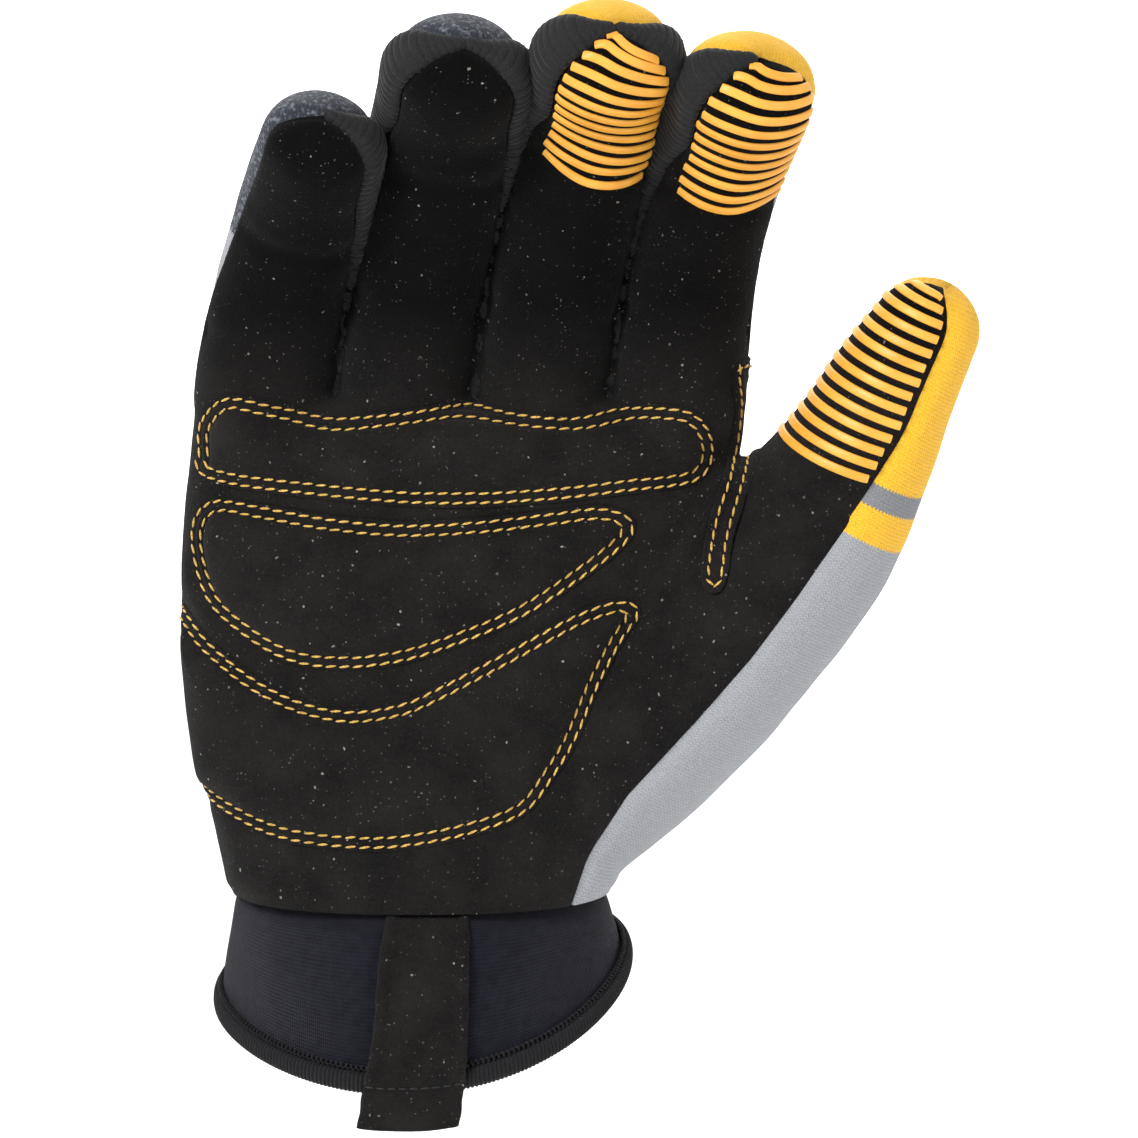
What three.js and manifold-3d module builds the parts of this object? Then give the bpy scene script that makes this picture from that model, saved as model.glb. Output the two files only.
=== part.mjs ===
// A right-hand cut-resistant work glove in the shape it has when worn: a suede palm with padded
// patches, a knit back, ribbed strips between the fingers, grip bars on three fingertips, and a
// short stretch cuff with a bound edge and a pull tab.
// Millimetres. +Z runs to the fingertips, +X to the thumb side, and the palm faces -Y.
// The origin is the middle of the cuff's mouth, where the hand goes in.
import * as THREE from "three";
import { mergeVertices } from "three/addons/utils/BufferGeometryUtils.js";
import Module from "manifold-3d";

const wasm = await Module();
wasm.setup();

// Fabric and gaps
const WALL = 2.0; // suede or knit with its lining
const GAP = 0.3; // left between two pieces that are sewn together
const FOOT_GAP = 1.2; // the same at a finger's foot, where the seam turns
const PAD_GAP = 0.45; // between a patch and the faceted palm under it
const PAD_THICKNESS = 1.8;
const WEB_PATCH_THICKNESS = 0.9;
const GRIP_FILM = 0.4;
const GRIP_BAR_HEIGHT = 0.55;
const GRIP_BAR_PITCH = 2.8;
const GRIP_BAR_COUNT = 14;

// Seams of a finger, as angles round it from the middle of its pad, and as heights on its rounded
// tip, where 1 is where the tip begins and 2 is its end
const LOBE_ANGLE = 60; // where the suede front ends
const STRIP_ANGLE = 112; // where the ribbed side strip ends and the knit back begins
const LOBE_TOP = 1.84;
const STRIP_TOP = 1.93;
const ARCH_START = 0.9; // the seams draw together from here up
const SEAM_RADIUS = 11.5; // a finger's, to turn a width into an angle

const PALM_BOTTOM = 17; // height of the seam between palm and cuff
const BODY_SEAM_Y = -1; // the palm wraps round the side of the hand up to here
const CROTCH_Z = 107.5; // above this height the fingers are separate

const SIDES_OF_FINGER = 12;
const SIDES_OF_HAND = 20;
const SIDES_OF_CUFF = 24;
const CAVITY_SHARE = { hand: 0.8, limb: 2 / 3 }; // of those sides, for the hollows
const FAR = 150; // past the glove on every side, for cutting bodies

const degrees = THREE.MathUtils.degToRad;

const FLATNESS = 0.84; // power that makes the hand flatter in front and behind than an ellipse

// The hand inside, as sections across each part. A row is [x, y, z, half width, half depth].
const HAND_ROWS = [
  [1.0, -3.0, PALM_BOTTOM, 35.5, 25.2],
  [1.5, -3.0, 24.5, 37.2, 23.2],
  [1.9, -3.0, 33.5, 39.6, 20.8],
  [2.3, -3.0, 43.0, 42.6, 19.6],
  [3.4, -3.2, 57.0, 45.2, 18.8],
  [5.2, -3.4, 71.0, 47.4, 18.2],
  [7.0, -3.6, 85.0, 48.6, 17.2],
  [9.0, -3.8, 98.0, 49.2, 14.8],
  [9.8, -3.9, 104.0, 49.2, 12.8],
  [10.1, -4.0, 106.6, 48.6, 9.0],
  [10.1, -4.0, CROTCH_Z, 48.0, 4.5],
];

// Each finger starts inside the hand. The tip's length is the rounded end past the last row.
const FINGERS = {
  little: {
    rows: [
      [-27.2, -3.8, 97.0, 10.4, 9.6],
      [-26.9, -4.0, 107.0, 12.5, 11.6],
      [-24.1, -5.0, 124.4, 11.9, 10.8],
      [-19.0, -14.2, 143.0, 11.0, 10.2],
      [-15.0, -26.0, 154.2, 10.5, 9.6],
    ],
    tipLength: 9.6,
  },
  ring: {
    rows: [
      [-2.6, -3.8, 97.0, 10.4, 11.0],
      [-1.3, -4.0, 107.3, 11.7, 12.2],
      [1.6, -5.0, 131.0, 11.7, 11.4],
      [6.6, -17.2, 155.6, 12.1, 10.8],
      [9.2, -29.6, 166.4, 12.1, 10.4],
    ],
    tipLength: 10.4,
  },
  middle: {
    rows: [
      [21.6, -3.8, 97.0, 10.4, 11.2],
      [22.9, -4.0, 107.3, 11.6, 12.4],
      [26.2, -5.0, 132.2, 11.7, 11.6],
      [31.9, -18.0, 158.0, 12.0, 11.0],
      [34.4, -30.8, 168.8, 12.2, 10.6],
    ],
    tipLength: 10.8,
  },
  index: {
    rows: [
      [45.6, -3.8, 97.0, 10.4, 10.0],
      [47.2, -4.0, 107.3, 11.9, 12.4],
      [50.2, -5.0, 130.4, 11.4, 11.4],
      [55.2, -17.0, 152.4, 11.3, 10.8],
      [58.2, -29.4, 163.6, 11.9, 10.4],
    ],
    tipLength: 10.6,
  },
};

const THUMB = {
  rows: [
    [26.2, -4.0, 30.0, 14.0, 16.0],
    [41.4, -5.0, 46.2, 16.4, 17.2],
    [57.2, -7.0, 65.7, 18.0, 17.0],
    [71.0, -9.0, 84.6, 17.4, 15.2],
    [80.2, -11.0, 100.4, 13.8, 13.0],
    [86.0, -12.0, 112.2, 11.7, 11.4],
    [90.8, -13.0, 121.2, 9.6, 9.6],
  ],
  tipLength: 9.0,
  turn: 40, // the pad of the thumb faces the fingers by this much
  lobeAngle: 62,
};

// The web between thumb and index finger
const WEB = {
  rows: [
    [44.0, -4.5, 70.0, 12.0, 13.0],
    [52.0, -5.0, 82.0, 10.0, 11.0],
    [57.0, -5.5, 91.0, 7.5, 8.5],
  ],
  tipLength: 6,
};

// The cuff, from inside the palm down to its mouth. A row is a ring that dips at the palm side:
// [y, z, half width, half depth, dip angle, lean sideways].
const CUFF_ROWS = [
  [-3.0, 20.5, 32.7, 22.5, 0, 0],
  [-3.0, 16.7, 32.8, 22.6, 0, 0],
  [-3.0, 15.6, 34.4, 24.6, 1, 0],
  [-2.2, 9.5, 35.4, 27.0, 8, 1.5],
  [-1.0, 4.5, 36.4, 29.8, 16, 3],
  [0.0, 0.0, 37.2, 32.4, 22, 6],
];
const CUFF_X = 1.0; // the cuff sits this far towards the thumb
const CUFF_RADIUS = 36; // across the front, to turn a width into an angle

// Outlines seen from the front, as [x, z] points that a closed smooth curve passes through
const UPPER_PAD = [
  [-38.6, 100], [-36.4, 106.6], [-30, 108.2], [-14, 105.4], [9, 107.2], [29.6, 105.4],
  [48, 106.9], [53.2, 100.6], [49.6, 94], [24, 91.8], [0, 91.2], [-24, 93], [-37, 95],
];
const MIDDLE_PAD = [
  [-39, 84], [-34.9, 90], [-14.1, 88], [8, 87.4], [27, 89.2], [37.6, 88],
  [38, 84], [19.3, 71.2], [5, 65.4], [-9, 62.4], [-22.3, 63.2], [-34, 71],
];
const HEEL_PAD = [
  [-42, 65], [-36, 64.4], [-24, 57], [-10.9, 53.9], [5.1, 58.4], [24, 68.4], [37.6, 73],
  [39.6, 69.6], [30.4, 51], [20, 36], [-2.7, 30.3], [-26.1, 31.6], [-38, 36], [-43.5, 50],
];
const WEB_PATCH = [
  [57.4, 106], [57, 100], [54, 90], [51.9, 78.6], [53.4, 75.9], [55.4, 78], [58, 87],
  [60, 93], [61, 98], [60, 106],
];
// The knit of the thumb side starts to the right of this line
const SIDE_SEAM = [
  [27.5, 8], [28.8, 17.5], [31.6, 25.6], [38.6, 37.9], [51.5, 53.1], [69.2, 75.4], [78, 88],
];
// Between the thumb and the index finger the suede ends to the right here
const PALM_TOP_SEAM = [
  [62.5, 99], [62.5, CROTCH_Z + 5],
];
// The thumb's knit meets the knit of the back along this line
const BACK_SEAM = [
  [34, 8], [37, 24], [44, 46], [53, 70], [58, 88], [60.5, 99], [60.5, 150],
];

// The pull tab lies on the front of the cuff, crosses its bound rim and hangs below it
const TAB_THICKNESS = 1.7;
const TAB_TOP = { angle: 5.5, halfWidth: 7.1 };
const TAB_END = { angle: 0, halfWidth: 8.2, below: 8 };

// The cloth edge folded over the cuff's rim
const BINDING_THICKNESS = 1.1;
const BINDING_HEIGHT = 4.2;

// Solids
const MERGE_DISTANCE = 1e-4;

function manifoldOf(vertProperties, index) {
  const mesh = new wasm.Mesh({ numProp: 3, vertProperties, triVerts: new Uint32Array(index) });
  return new wasm.Manifold(mesh);
}

function solidOf(positions, triangles) {
  const coordinates = positions.flatMap((p) => [p.x, p.y, p.z]);
  let geometry = new THREE.BufferGeometry();
  geometry.setAttribute("position", new THREE.Float32BufferAttribute(coordinates, 3));
  geometry.setIndex(triangles.flat());
  geometry = mergeVertices(geometry, MERGE_DISTANCE);
  const kept = [];
  const index = geometry.index.array;
  for (let i = 0; i < index.length; i += 3) {
    const [a, b, c] = index.slice(i, i + 3);
    if (a !== b && b !== c && c !== a) kept.push(a, b, c);
  }
  return manifoldOf(geometry.attributes.position.array, kept);
}

// A closed solid through rings of points, each ring anticlockwise as seen from the last ring
function loft(rings) {
  const positions = rings.flat();
  const n = rings[0].length;
  const triangles = [];
  for (let i = 0; i + 1 < rings.length; i++)
    for (let j = 0; j < n; j++) {
      const [a, b] = [i * n + j, i * n + ((j + 1) % n)];
      triangles.push([a, b, b + n], [a, b + n, a + n]);
    }
  const last = (rings.length - 1) * n;
  const middle = (ring) => ring.reduce((sum, p) => sum.add(p), new THREE.Vector3()).divideScalar(n);
  positions.push(middle(rings[0]), middle(rings.at(-1)));
  for (let j = 0; j < n; j++) {
    const next = (j + 1) % n;
    triangles.push([positions.length - 2, next, j], [positions.length - 1, last + j, last + next]);
  }
  return solidOf(positions, triangles);
}

// A closed solid between two sheets of points, both as rows that run from one edge to the other
function slab(outer, inner) {
  const [rows, columns] = [outer.length, outer[0].length];
  const positions = [...outer.flat(), ...inner.flat()];
  const out = (i, j) => i * columns + j;
  const inn = (i, j) => (rows + i) * columns + j;
  const triangles = [];
  const quad = (a, b, c, d) => triangles.push([a, b, c], [a, c, d]);
  const closed = (row) => row[0].distanceTo(row.at(-1)) < 1e-3; // where the sheet goes all the way round
  for (let i = 0; i + 1 < rows; i++) {
    for (let j = 0; j + 1 < columns; j++) {
      quad(out(i, j), out(i, j + 1), out(i + 1, j + 1), out(i + 1, j));
      quad(inn(i, j), inn(i + 1, j), inn(i + 1, j + 1), inn(i, j + 1));
    }
    if (closed(outer[i]) && closed(outer[i + 1])) continue;
    quad(inn(i, 0), out(i, 0), out(i + 1, 0), inn(i + 1, 0));
    quad(out(i, columns - 1), inn(i, columns - 1), inn(i + 1, columns - 1), out(i + 1, columns - 1));
  }
  for (let j = 0; j + 1 < columns; j++) {
    quad(inn(0, j), inn(0, j + 1), out(0, j + 1), out(0, j));
    quad(out(rows - 1, j), out(rows - 1, j + 1), inn(rows - 1, j + 1), inn(rows - 1, j));
  }
  return solidOf(positions, triangles);
}

// A flat outline in x and z, pushed along y between two depths
function prism(outline, front, back) {
  const shape = new THREE.Shape(outline.map(([x, z]) => new THREE.Vector2(x, z)));
  const geometry = new THREE.ExtrudeGeometry(shape, { depth: back - front, bevelEnabled: false });
  geometry.rotateX(Math.PI / 2); // outline's second axis to +Z, its thickness to -Y
  geometry.translate(0, back, 0);
  geometry.deleteAttribute("normal");
  geometry.deleteAttribute("uv");
  const merged = mergeVertices(geometry, MERGE_DISTANCE);
  return manifoldOf(merged.attributes.position.array, merged.index.array);
}

function smoothOutline(points, steps) {
  const places = points.map(([x, z]) => new THREE.Vector3(x, z, 0));
  const curve = new THREE.CatmullRomCurve3(places, true, "centripetal");
  return curve.getPoints(steps).slice(0, -1).map((p) => [p.x, p.y]);
}

// A finger, the thumb or the hand: a smooth tube through the rows. s runs from 0 at the first
// row to 1 at the last, and on to 2 over the rounded tip. The angle is 0 at the palm side and
// grows towards the thumb side.
class Limb {
  constructor({ rows, tipLength = 0, turn = 0 }, stations) {
    const through = (points) => new THREE.CatmullRomCurve3(points, false, "catmullrom", 0.5);
    this.stations = stations;
    this.centres = through(rows.map(([x, y, z]) => new THREE.Vector3(x, y, z)));
    this.sizes = through(rows.map(([, , , width, depth]) => new THREE.Vector3(width, depth, 0)));
    this.tipLength = tipLength;
    this.side = new THREE.Vector3(Math.cos(degrees(turn)), -Math.sin(degrees(turn)), 0);
    this.power = tipLength ? 1 : FLATNESS;
  }

  point(s, angle, grow = 0) {
    const along = Math.min(s, 1);
    const centre = this.centres.getPoint(along);
    const tangent = this.centres.getTangent(along);
    if (!this.tipLength) tangent.set(0, 0, 1);
    const lateral = this.side.clone().addScaledVector(tangent, -this.side.dot(tangent)).normalize();
    const front = lateral.clone().cross(tangent);
    const size = this.sizes.getPoint(along);
    const over = degrees(90 * Math.max(0, s - 1));
    centre.addScaledVector(tangent, (this.tipLength + grow) * Math.sin(over));
    const bend = (v) => Math.sign(v) * Math.abs(v) ** this.power;
    const across = (size.x + grow) * Math.cos(over) * bend(Math.sin(degrees(angle)));
    const forward = (size.y + grow) * Math.cos(over) * bend(Math.cos(degrees(angle)));
    return centre.addScaledVector(lateral, across).addScaledVector(front, forward);
  }

  ring(s, sides, grow) {
    return Array.from({ length: sides }, (_, j) => this.point(s, (360 * j) / sides, grow));
  }

  solid(sides, grow) {
    return loft(this.stations.map((s) => this.ring(s, sides, grow)));
  }

  // A thick sheet over the limb: rows at the stations, columns between the edges' two angles
  sheet(stations, edges, columns, inner, outer) {
    const rows = (grow) => stations.map((s) => this.span(s, edges(s), columns, grow));
    return slab(rows(outer), rows(inner));
  }

  span(s, [from, to], columns, grow) {
    const step = (to - from) / columns;
    return Array.from({ length: columns + 1 }, (_, j) => this.point(s, from + step * j, grow));
  }
}

const FINGER_STATIONS = [0, 0.2, 0.4, 0.6, 0.8, 1, 1.3, 1.6, 2];
const THUMB_STATIONS = [0, 0.2, 0.4, 0.6, 0.8, 1, 1.25, 1.5, 1.75, 2];
const HAND_STATIONS = HAND_ROWS.map((row, i) => i / (HAND_ROWS.length - 1));

const fingers = Object.fromEntries(
  Object.entries(FINGERS).map(([name, spec]) => [name, new Limb(spec, FINGER_STATIONS)]),
);
const thumb = new Limb(THUMB, THUMB_STATIONS);
const web = new Limb(WEB, [0, 0.5, 1, 1.5, 1.8, 2]);
const hand = new Limb({ rows: HAND_ROWS }, HAND_STATIONS);

const box = ([left, front, low], [right, back, high]) =>
  prism([[left, low], [right, low], [right, high], [left, high]], front, back);
const join = (solids) => solids.reduce((whole, solid) => whole.add(solid));
const limbSolid = (limb, grow, share = 1) =>
  limb.solid((limb === hand ? SIDES_OF_HAND : SIDES_OF_FINGER) * share, grow);

// The whole glove's form, thicker by grow all over
const limbs = [thumb, web, ...Object.values(fingers)];
const form = (grow) => join([hand, ...limbs].map((limb) => limbSolid(limb, grow)));

// The body is open at the wrist and where the fingers begin, and closed between them
const above = (z) => box([-FAR, -FAR, z], [FAR, FAR, z + FAR]);
const mouth = loft(
  [-2, 4].map((rise) =>
    hand.ring(0, SIDES_OF_HAND, -WALL).map((p) => p.setZ(PALM_BOTTOM + rise)),
  ),
);
const handCavity = limbSolid(hand, -WALL, CAVITY_SHARE.hand).subtract(above(CROTCH_Z - WALL));
const limbCavities = limbs.map((limb) => limbSolid(limb, -WALL, CAVITY_SHARE.limb));
const cavity = join([mouth, handCavity, ...limbCavities]);
const spaceForFingers = join(Object.values(fingers).map((finger) => limbSolid(finger, GAP)));
const body = form(0).subtract(cavity).subtract(spaceForFingers.intersect(above(CROTCH_Z)));

// A seam that runs up a finger and closes over its tip: the share of its full angle at a station
function arch(s, top) {
  const closed = Math.max(0, (s - ARCH_START) / (top - ARCH_START));
  return s >= top ? 0 : Math.sqrt(1 - closed ** 2);
}
const turnOf = (distance) => THREE.MathUtils.radToDeg(distance / SEAM_RADIUS);
const degreesOf = (distance) => THREE.MathUtils.radToDeg(distance / CUFF_RADIUS);

const thumbSeam = (s) => THUMB.lobeAngle * arch(s, LOBE_TOP);

// Everything on the hand and thumb that the suede covers, with its seams moved out by grow
function palmTool(grow) {
  const right = SIDE_SEAM.map(([x, z]) => [x + grow * 1.3, z]); // it slants, so it moves further
  const past = PALM_TOP_SEAM.map(([x, z]) => [x + grow, z]);
  const outline = [[-FAR, 8], ...right, [74, 93 + grow], ...past, [-FAR, past.at(-1)[1]]];
  const rise = grow / THUMB.tipLength;
  const stations = [0.5, 0.75, 1, 1.3, 1.6, LOBE_TOP + rise - 0.02];
  const edges = (s) => {
    const angle = thumbSeam(s - rise) + turnOf(grow);
    return [-angle, angle];
  };
  const thumbFront = thumb.sheet(stations, edges, 5, -4 * WALL, WALL);
  return prism(outline, -FAR, BODY_SEAM_Y + grow).add(thumbFront);
}

// A finger is a suede front, a ribbed strip on each side that faces another finger, and a knit
// back that closes the tip. On an outer side with no strip the suede meets the knit at the angle
// foot low on the finger and at the angle end further up.
const SIDE_SEAMS = {
  little: { left: { foot: 105, end: 96 } },
  ring: {},
  middle: {},
  index: { right: { foot: 105, end: 80 } },
};
const LOBE_END = LOBE_TOP - 0.02;
const LOBE_STATIONS = [0.2, 0.4, 0.6, 0.8, 1, 1.3, 1.6, LOBE_END];
const STRIP_FOOT = { left: 0.26, right: 0.3 }; // the station that each strip starts from
const STRIP_STATIONS = [0.4, 0.6, 0.8, 1, 1.3, 1.6, LOBE_END, STRIP_TOP - 0.02];
const BACK_STATIONS = [0.2, 0.4, 0.6, 0.8, 1, 1.3, 1.6, LOBE_END, STRIP_TOP, 2];
const FOOT_STATION = 0.3; // below this a finger's seams keep the wider gap

function lobeAngle(name, side, s) {
  const seam = SIDE_SEAMS[name][side];
  if (!seam) return LOBE_ANGLE;
  return seam.foot + (seam.end - seam.foot) * THREE.MathUtils.smoothstep(s, 0.22, 0.6);
}

function lobeEdges(name, s) {
  return ["left", "right"].map((side) => lobeAngle(name, side, s) * arch(s, LOBE_TOP));
}

function fingerFront(name) {
  const edges = (s) => {
    const [left, right] = lobeEdges(name, s);
    return [-left, right];
  };
  return fingers[name].sheet(LOBE_STATIONS, edges, 4, -WALL, 0);
}

// The inner edge follows the suede's, and closes to nothing over the suede's end
function stripOf(name, side) {
  const edges = (s) => {
    const pastLobe = 20 * Math.max(0, s - LOBE_TOP);
    const near = LOBE_ANGLE * arch(s, LOBE_TOP) + turnOf(GAP) + pastLobe;
    const far = Math.max(near + 1, STRIP_ANGLE * arch(s, STRIP_TOP));
    return side > 0 ? [near, far] : [-far, -near];
  };
  const foot = side > 0 ? STRIP_FOOT.right : STRIP_FOOT.left;
  return fingers[name].sheet([foot, ...STRIP_STATIONS], edges, 2, -WALL, 0);
}

function fingerBack(name) {
  const edges = (s) => {
    const gap = s < STRIP_TOP ? turnOf(s < FOOT_STATION ? FOOT_GAP : GAP) : 0;
    const [left, right] = lobeEdges(name, s).map((angle, i) => {
      const hasStrip = !SIDE_SEAMS[name][["left", "right"][i]];
      return (hasStrip ? STRIP_ANGLE * arch(s, STRIP_TOP) : angle) + gap;
    });
    return [right, 360 - left];
  };
  return fingers[name].sheet(BACK_STATIONS, edges, 8, -WALL, 0);
}

const palmPanel = Object.keys(fingers).reduce(
  (solid, name) => solid.add(fingerFront(name)),
  body.intersect(palmTool(0)),
);
const knit = body.subtract(palmTool(GAP));

// The ribbed strip between two fingers runs up one, down the other and through the crotch
const BRIDGE = { halfWidth: 2.2, front: -8.5, back: 0, height: 5 };
function stripBetween(left, right, crotchX) {
  const bridge = box(
    [crotchX - BRIDGE.halfWidth, BRIDGE.front, CROTCH_Z + GAP],
    [crotchX + BRIDGE.halfWidth, BRIDGE.back, CROTCH_Z + BRIDGE.height],
  );
  return stripOf(left, 1).add(stripOf(right, -1)).add(bridge);
}
const strips = {
  fourchette_little_ring: stripBetween("little", "ring", -13.5),
  fourchette_ring_middle: stripBetween("ring", "middle", 10.9),
  fourchette_middle_index: stripBetween("middle", "index", 35),
};

// The knit is one piece on the back of the hand and fingers, and another round the thumb
function thumbSide(shift) {
  const seam = BACK_SEAM.map(([x, z]) => [x + shift, z]);
  return prism([...seam, [FAR, seam.at(-1)[1]], [FAR, seam[0][1]]], -FAR, FAR);
}
const thumbBack = knit.intersect(thumbSide(GAP / 2));
const backPanel = Object.keys(fingers).reduce(
  (solid, name) => solid.add(fingerBack(name)),
  knit.subtract(thumbSide(-GAP / 2)),
);

// Patches sewn on the palm, each as far round the hand as its back allows
function raised(outline, steps, thickness, back) {
  const layer = form(PAD_GAP + thickness).subtract(form(PAD_GAP));
  return layer.intersect(prism(smoothOutline(outline, steps), -FAR, back));
}
const upperPad = raised(UPPER_PAD, 26, PAD_THICKNESS, -6);
const middlePad = raised(MIDDLE_PAD, 26, PAD_THICKNESS, -6);
const heelPad = raised(HEEL_PAD, 28, PAD_THICKNESS, -4);
const webPatch = raised(WEB_PATCH, 16, WEB_PATCH_THICKNESS, 0);

// Grip bars on a film over a fingertip's pad, which lies on the facets of the suede below it.
// A bar's profile is [share of the pitch, height], from its lower edge to its upper one.
const BAR_PROFILE = [
  [0.58, 0], [0.5, GRIP_BAR_HEIGHT], [0.08, GRIP_BAR_HEIGHT], [0, 0],
];
const GRIP_INSET = 2; // degrees from the grip's edge to the seam
function grip(limb, seams, stations) {
  const steps = 240;
  const reach = 1.2; // stations that the bars may use, down from the suede's end
  const stationAt = (i) => LOBE_TOP - 0.05 - (i * reach) / steps;
  const lengths = [0];
  for (let i = 1; i <= steps; i++) {
    const step = limb.point(stationAt(i), 0).distanceTo(limb.point(stationAt(i - 1), 0));
    lengths.push(lengths[i - 1] + step);
  }
  const stationOf = (length) => stationAt(lengths.findIndex((l) => l >= length));
  const edges = (s) => {
    const [left, right] = seams(s);
    return [GRIP_INSET - left, right - GRIP_INSET];
  };
  const row = (s, grow) => {
    const i = stations.findIndex((station) => station >= s) - 1;
    const share = (s - stations[i]) / (stations[i + 1] - stations[i]);
    const [lower, upper] = [stations[i], stations[i + 1]].map((t) => limb.span(t, edges(t), 4, grow));
    return lower.map((p, j) => p.lerp(upper[j], share));
  };
  const [film, bars] = [[], []];
  for (let bar = GRIP_BAR_COUNT - 1; bar >= 0; bar--)
    for (const [share, height] of BAR_PROFILE) {
      const s = stationOf(GRIP_BAR_PITCH * (bar + share));
      film.push(row(s, GAP));
      bars.push(row(s, GAP + GRIP_FILM + height));
    }
  return slab(bars, film);
}

// A point on a ring of the cuff, from the palm side round by the thumb side. The dip fades out
// behind, where the rim runs nearly level.
function cuffPoint([y, z, halfWidth, halfDepth, dip, roll], angle, out = 0) {
  const [across, forward] = [Math.sin(degrees(angle)), Math.cos(degrees(angle))];
  const depth = halfDepth + out;
  const side = (halfWidth + out) * across;
  const sidewaysRise = side * Math.sin(degrees(roll)) * (1 - 0.5 * forward);
  const rise = sidewaysRise - depth * Math.sin(degrees(dip)) * forward * (0.6 + 0.4 * forward);
  return new THREE.Vector3(
    CUFF_X + side * Math.cos(degrees(roll)),
    y - depth * Math.cos(degrees(dip)) * forward,
    z + rise,
  );
}

const aroundCuff = (place) =>
  Array.from({ length: SIDES_OF_CUFF }, (_, j) => place((360 * j) / SIDES_OF_CUFF));
const cuffLoft = (rows, out) =>
  loft([...rows].reverse().map((row) => aroundCuff((angle) => cuffPoint(row, angle, out))));
const moved = ([y, z, ...rest], rise) => [y, z + rise, ...rest];
const rim = CUFF_ROWS.at(-1);
const cuffHollow = [moved(CUFF_ROWS[0], 3), ...CUFF_ROWS, moved(rim, -4)]; // past both ends
const cuff = cuffLoft(CUFF_ROWS, 0).subtract(cuffLoft(cuffHollow, -WALL));

// A place by the rim, measured out from the cuff's face and down past its edge
function rimPoint(angle, out, down) {
  const edge = cuffPoint(rim, angle);
  const up = cuffPoint(CUFF_ROWS.at(-2), angle).sub(edge).normalize();
  const outward = cuffPoint(rim, angle, 1).sub(edge);
  outward.addScaledVector(up, -outward.dot(up)).normalize();
  return edge.addScaledVector(outward, out).addScaledVector(up, -down);
}

// A ring that is one closed loop of the same cross-section all round
function hoop(sections) {
  const n = sections[0].length;
  const triangles = [];
  for (let i = 0; i < sections.length; i++) {
    const next = (i + 1) % sections.length;
    for (let j = 0; j < n; j++) {
      const [a, b] = [i * n + j, i * n + ((j + 1) % n)];
      const [c, d] = [next * n + ((j + 1) % n), next * n + j];
      triangles.push([a, c, b], [a, d, c]);
    }
  }
  return solidOf(sections.flat(), triangles);
}

// The binding folds over the rim, from the cuff's outer face to its inner one. Its section is
// [out from the cuff's face, down past its rim].
const outerFace = GAP + BINDING_THICKNESS;
const innerFace = -WALL - GAP - BINDING_THICKNESS;
const bindingTop = outerFace - BINDING_HEIGHT;
const bindingSection = [
  [GAP, bindingTop], [GAP, GAP], [-WALL - GAP, GAP], [-WALL - GAP, bindingTop],
  [innerFace, bindingTop], [innerFace, outerFace], [outerFace, outerFace], [outerFace, bindingTop],
];
const cuffBinding = hoop(
  aroundCuff((angle) => bindingSection.map(([out, down]) => rimPoint(angle, out, down))),
);

// The tab follows the cuff's face, steps out over the binding and ends hanging
function tab() {
  const over = outerFace + GAP;
  const places = [
    (angle, out) => cuffPoint(CUFF_ROWS[2], angle, out + GAP),
    (angle, out) => cuffPoint(CUFF_ROWS[3], angle, out + GAP),
    (angle, out) => rimPoint(angle, out + GAP, bindingTop - 2),
    (angle, out) => rimPoint(angle, out + over, bindingTop - GAP),
    (angle, out) => rimPoint(angle, out + over, outerFace),
    (angle, out) => rimPoint(angle, out + over, TAB_END.below),
  ];
  const rows = (out) =>
    places.map((place, i) => {
      const share = i / (places.length - 1);
      const half = THREE.MathUtils.lerp(TAB_TOP.halfWidth, TAB_END.halfWidth, share);
      const middle = THREE.MathUtils.lerp(TAB_TOP.angle, TAB_END.angle, share);
      return [-1, -0.5, 0, 0.5, 1].map((side) => place(middle + degreesOf(side * half), out));
    });
  return slab(rows(TAB_THICKNESS).reverse(), rows(0).reverse());
}

// Finishes
const finish = (hex, roughness, metalness = 0) =>
  new THREE.MeshStandardMaterial({ color: new THREE.Color(hex), roughness, metalness });
const BLACK_SUEDE = finish("#1a1817", 0.95);
const GREY_KNIT = finish("#a3a6ac", 0.8);
const BLACK_RIB_KNIT = finish("#131313", 0.9);
const AMBER_SILICONE = finish("#e9a13c", 0.45);
const NAVY_STRETCH = finish("#1c1f2c", 0.85);
const BLACK_ELASTIC = finish("#17181a", 0.75);

const glove = new THREE.Group();

function addPiece(name, solid, material) {
  const { vertProperties, triVerts, numProp } = solid.getMesh();
  const geometry = new THREE.BufferGeometry();
  const positions = new Float32Array((vertProperties.length / numProp) * 3);
  for (let i = 0; i < positions.length / 3; i++)
    positions.set(vertProperties.subarray(i * numProp, i * numProp + 3), i * 3);
  geometry.setAttribute("position", new THREE.BufferAttribute(positions, 3));
  geometry.setIndex(new THREE.BufferAttribute(triVerts, 1));
  const mesh = new THREE.Mesh(geometry, material);
  mesh.name = name;
  glove.add(mesh);
}

addPiece("palm_panel", palmPanel, BLACK_SUEDE);
addPiece("back_panel", backPanel, GREY_KNIT);
addPiece("thumb_back_panel", thumbBack, GREY_KNIT);
for (const [name, solid] of Object.entries(strips)) addPiece(name, solid, BLACK_RIB_KNIT);
addPiece("upper_palm_pad", upperPad, BLACK_SUEDE);
addPiece("middle_palm_pad", middlePad, BLACK_SUEDE);
addPiece("heel_palm_pad", heelPad, BLACK_SUEDE);
addPiece("thumb_web_patch", webPatch, BLACK_SUEDE);
for (const name of ["index", "middle"])
  addPiece(`${name}_grip`, grip(fingers[name], (s) => lobeEdges(name, s), LOBE_STATIONS), AMBER_SILICONE);
const thumbSeams = (s) => [thumbSeam(s), thumbSeam(s)];
addPiece("thumb_grip", grip(thumb, thumbSeams, THUMB_STATIONS), AMBER_SILICONE);
addPiece("cuff", cuff, NAVY_STRETCH);
addPiece("cuff_binding", cuffBinding, BLACK_ELASTIC);
addPiece("pull_tab", tab(), BLACK_SUEDE);

export default glove;
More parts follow.
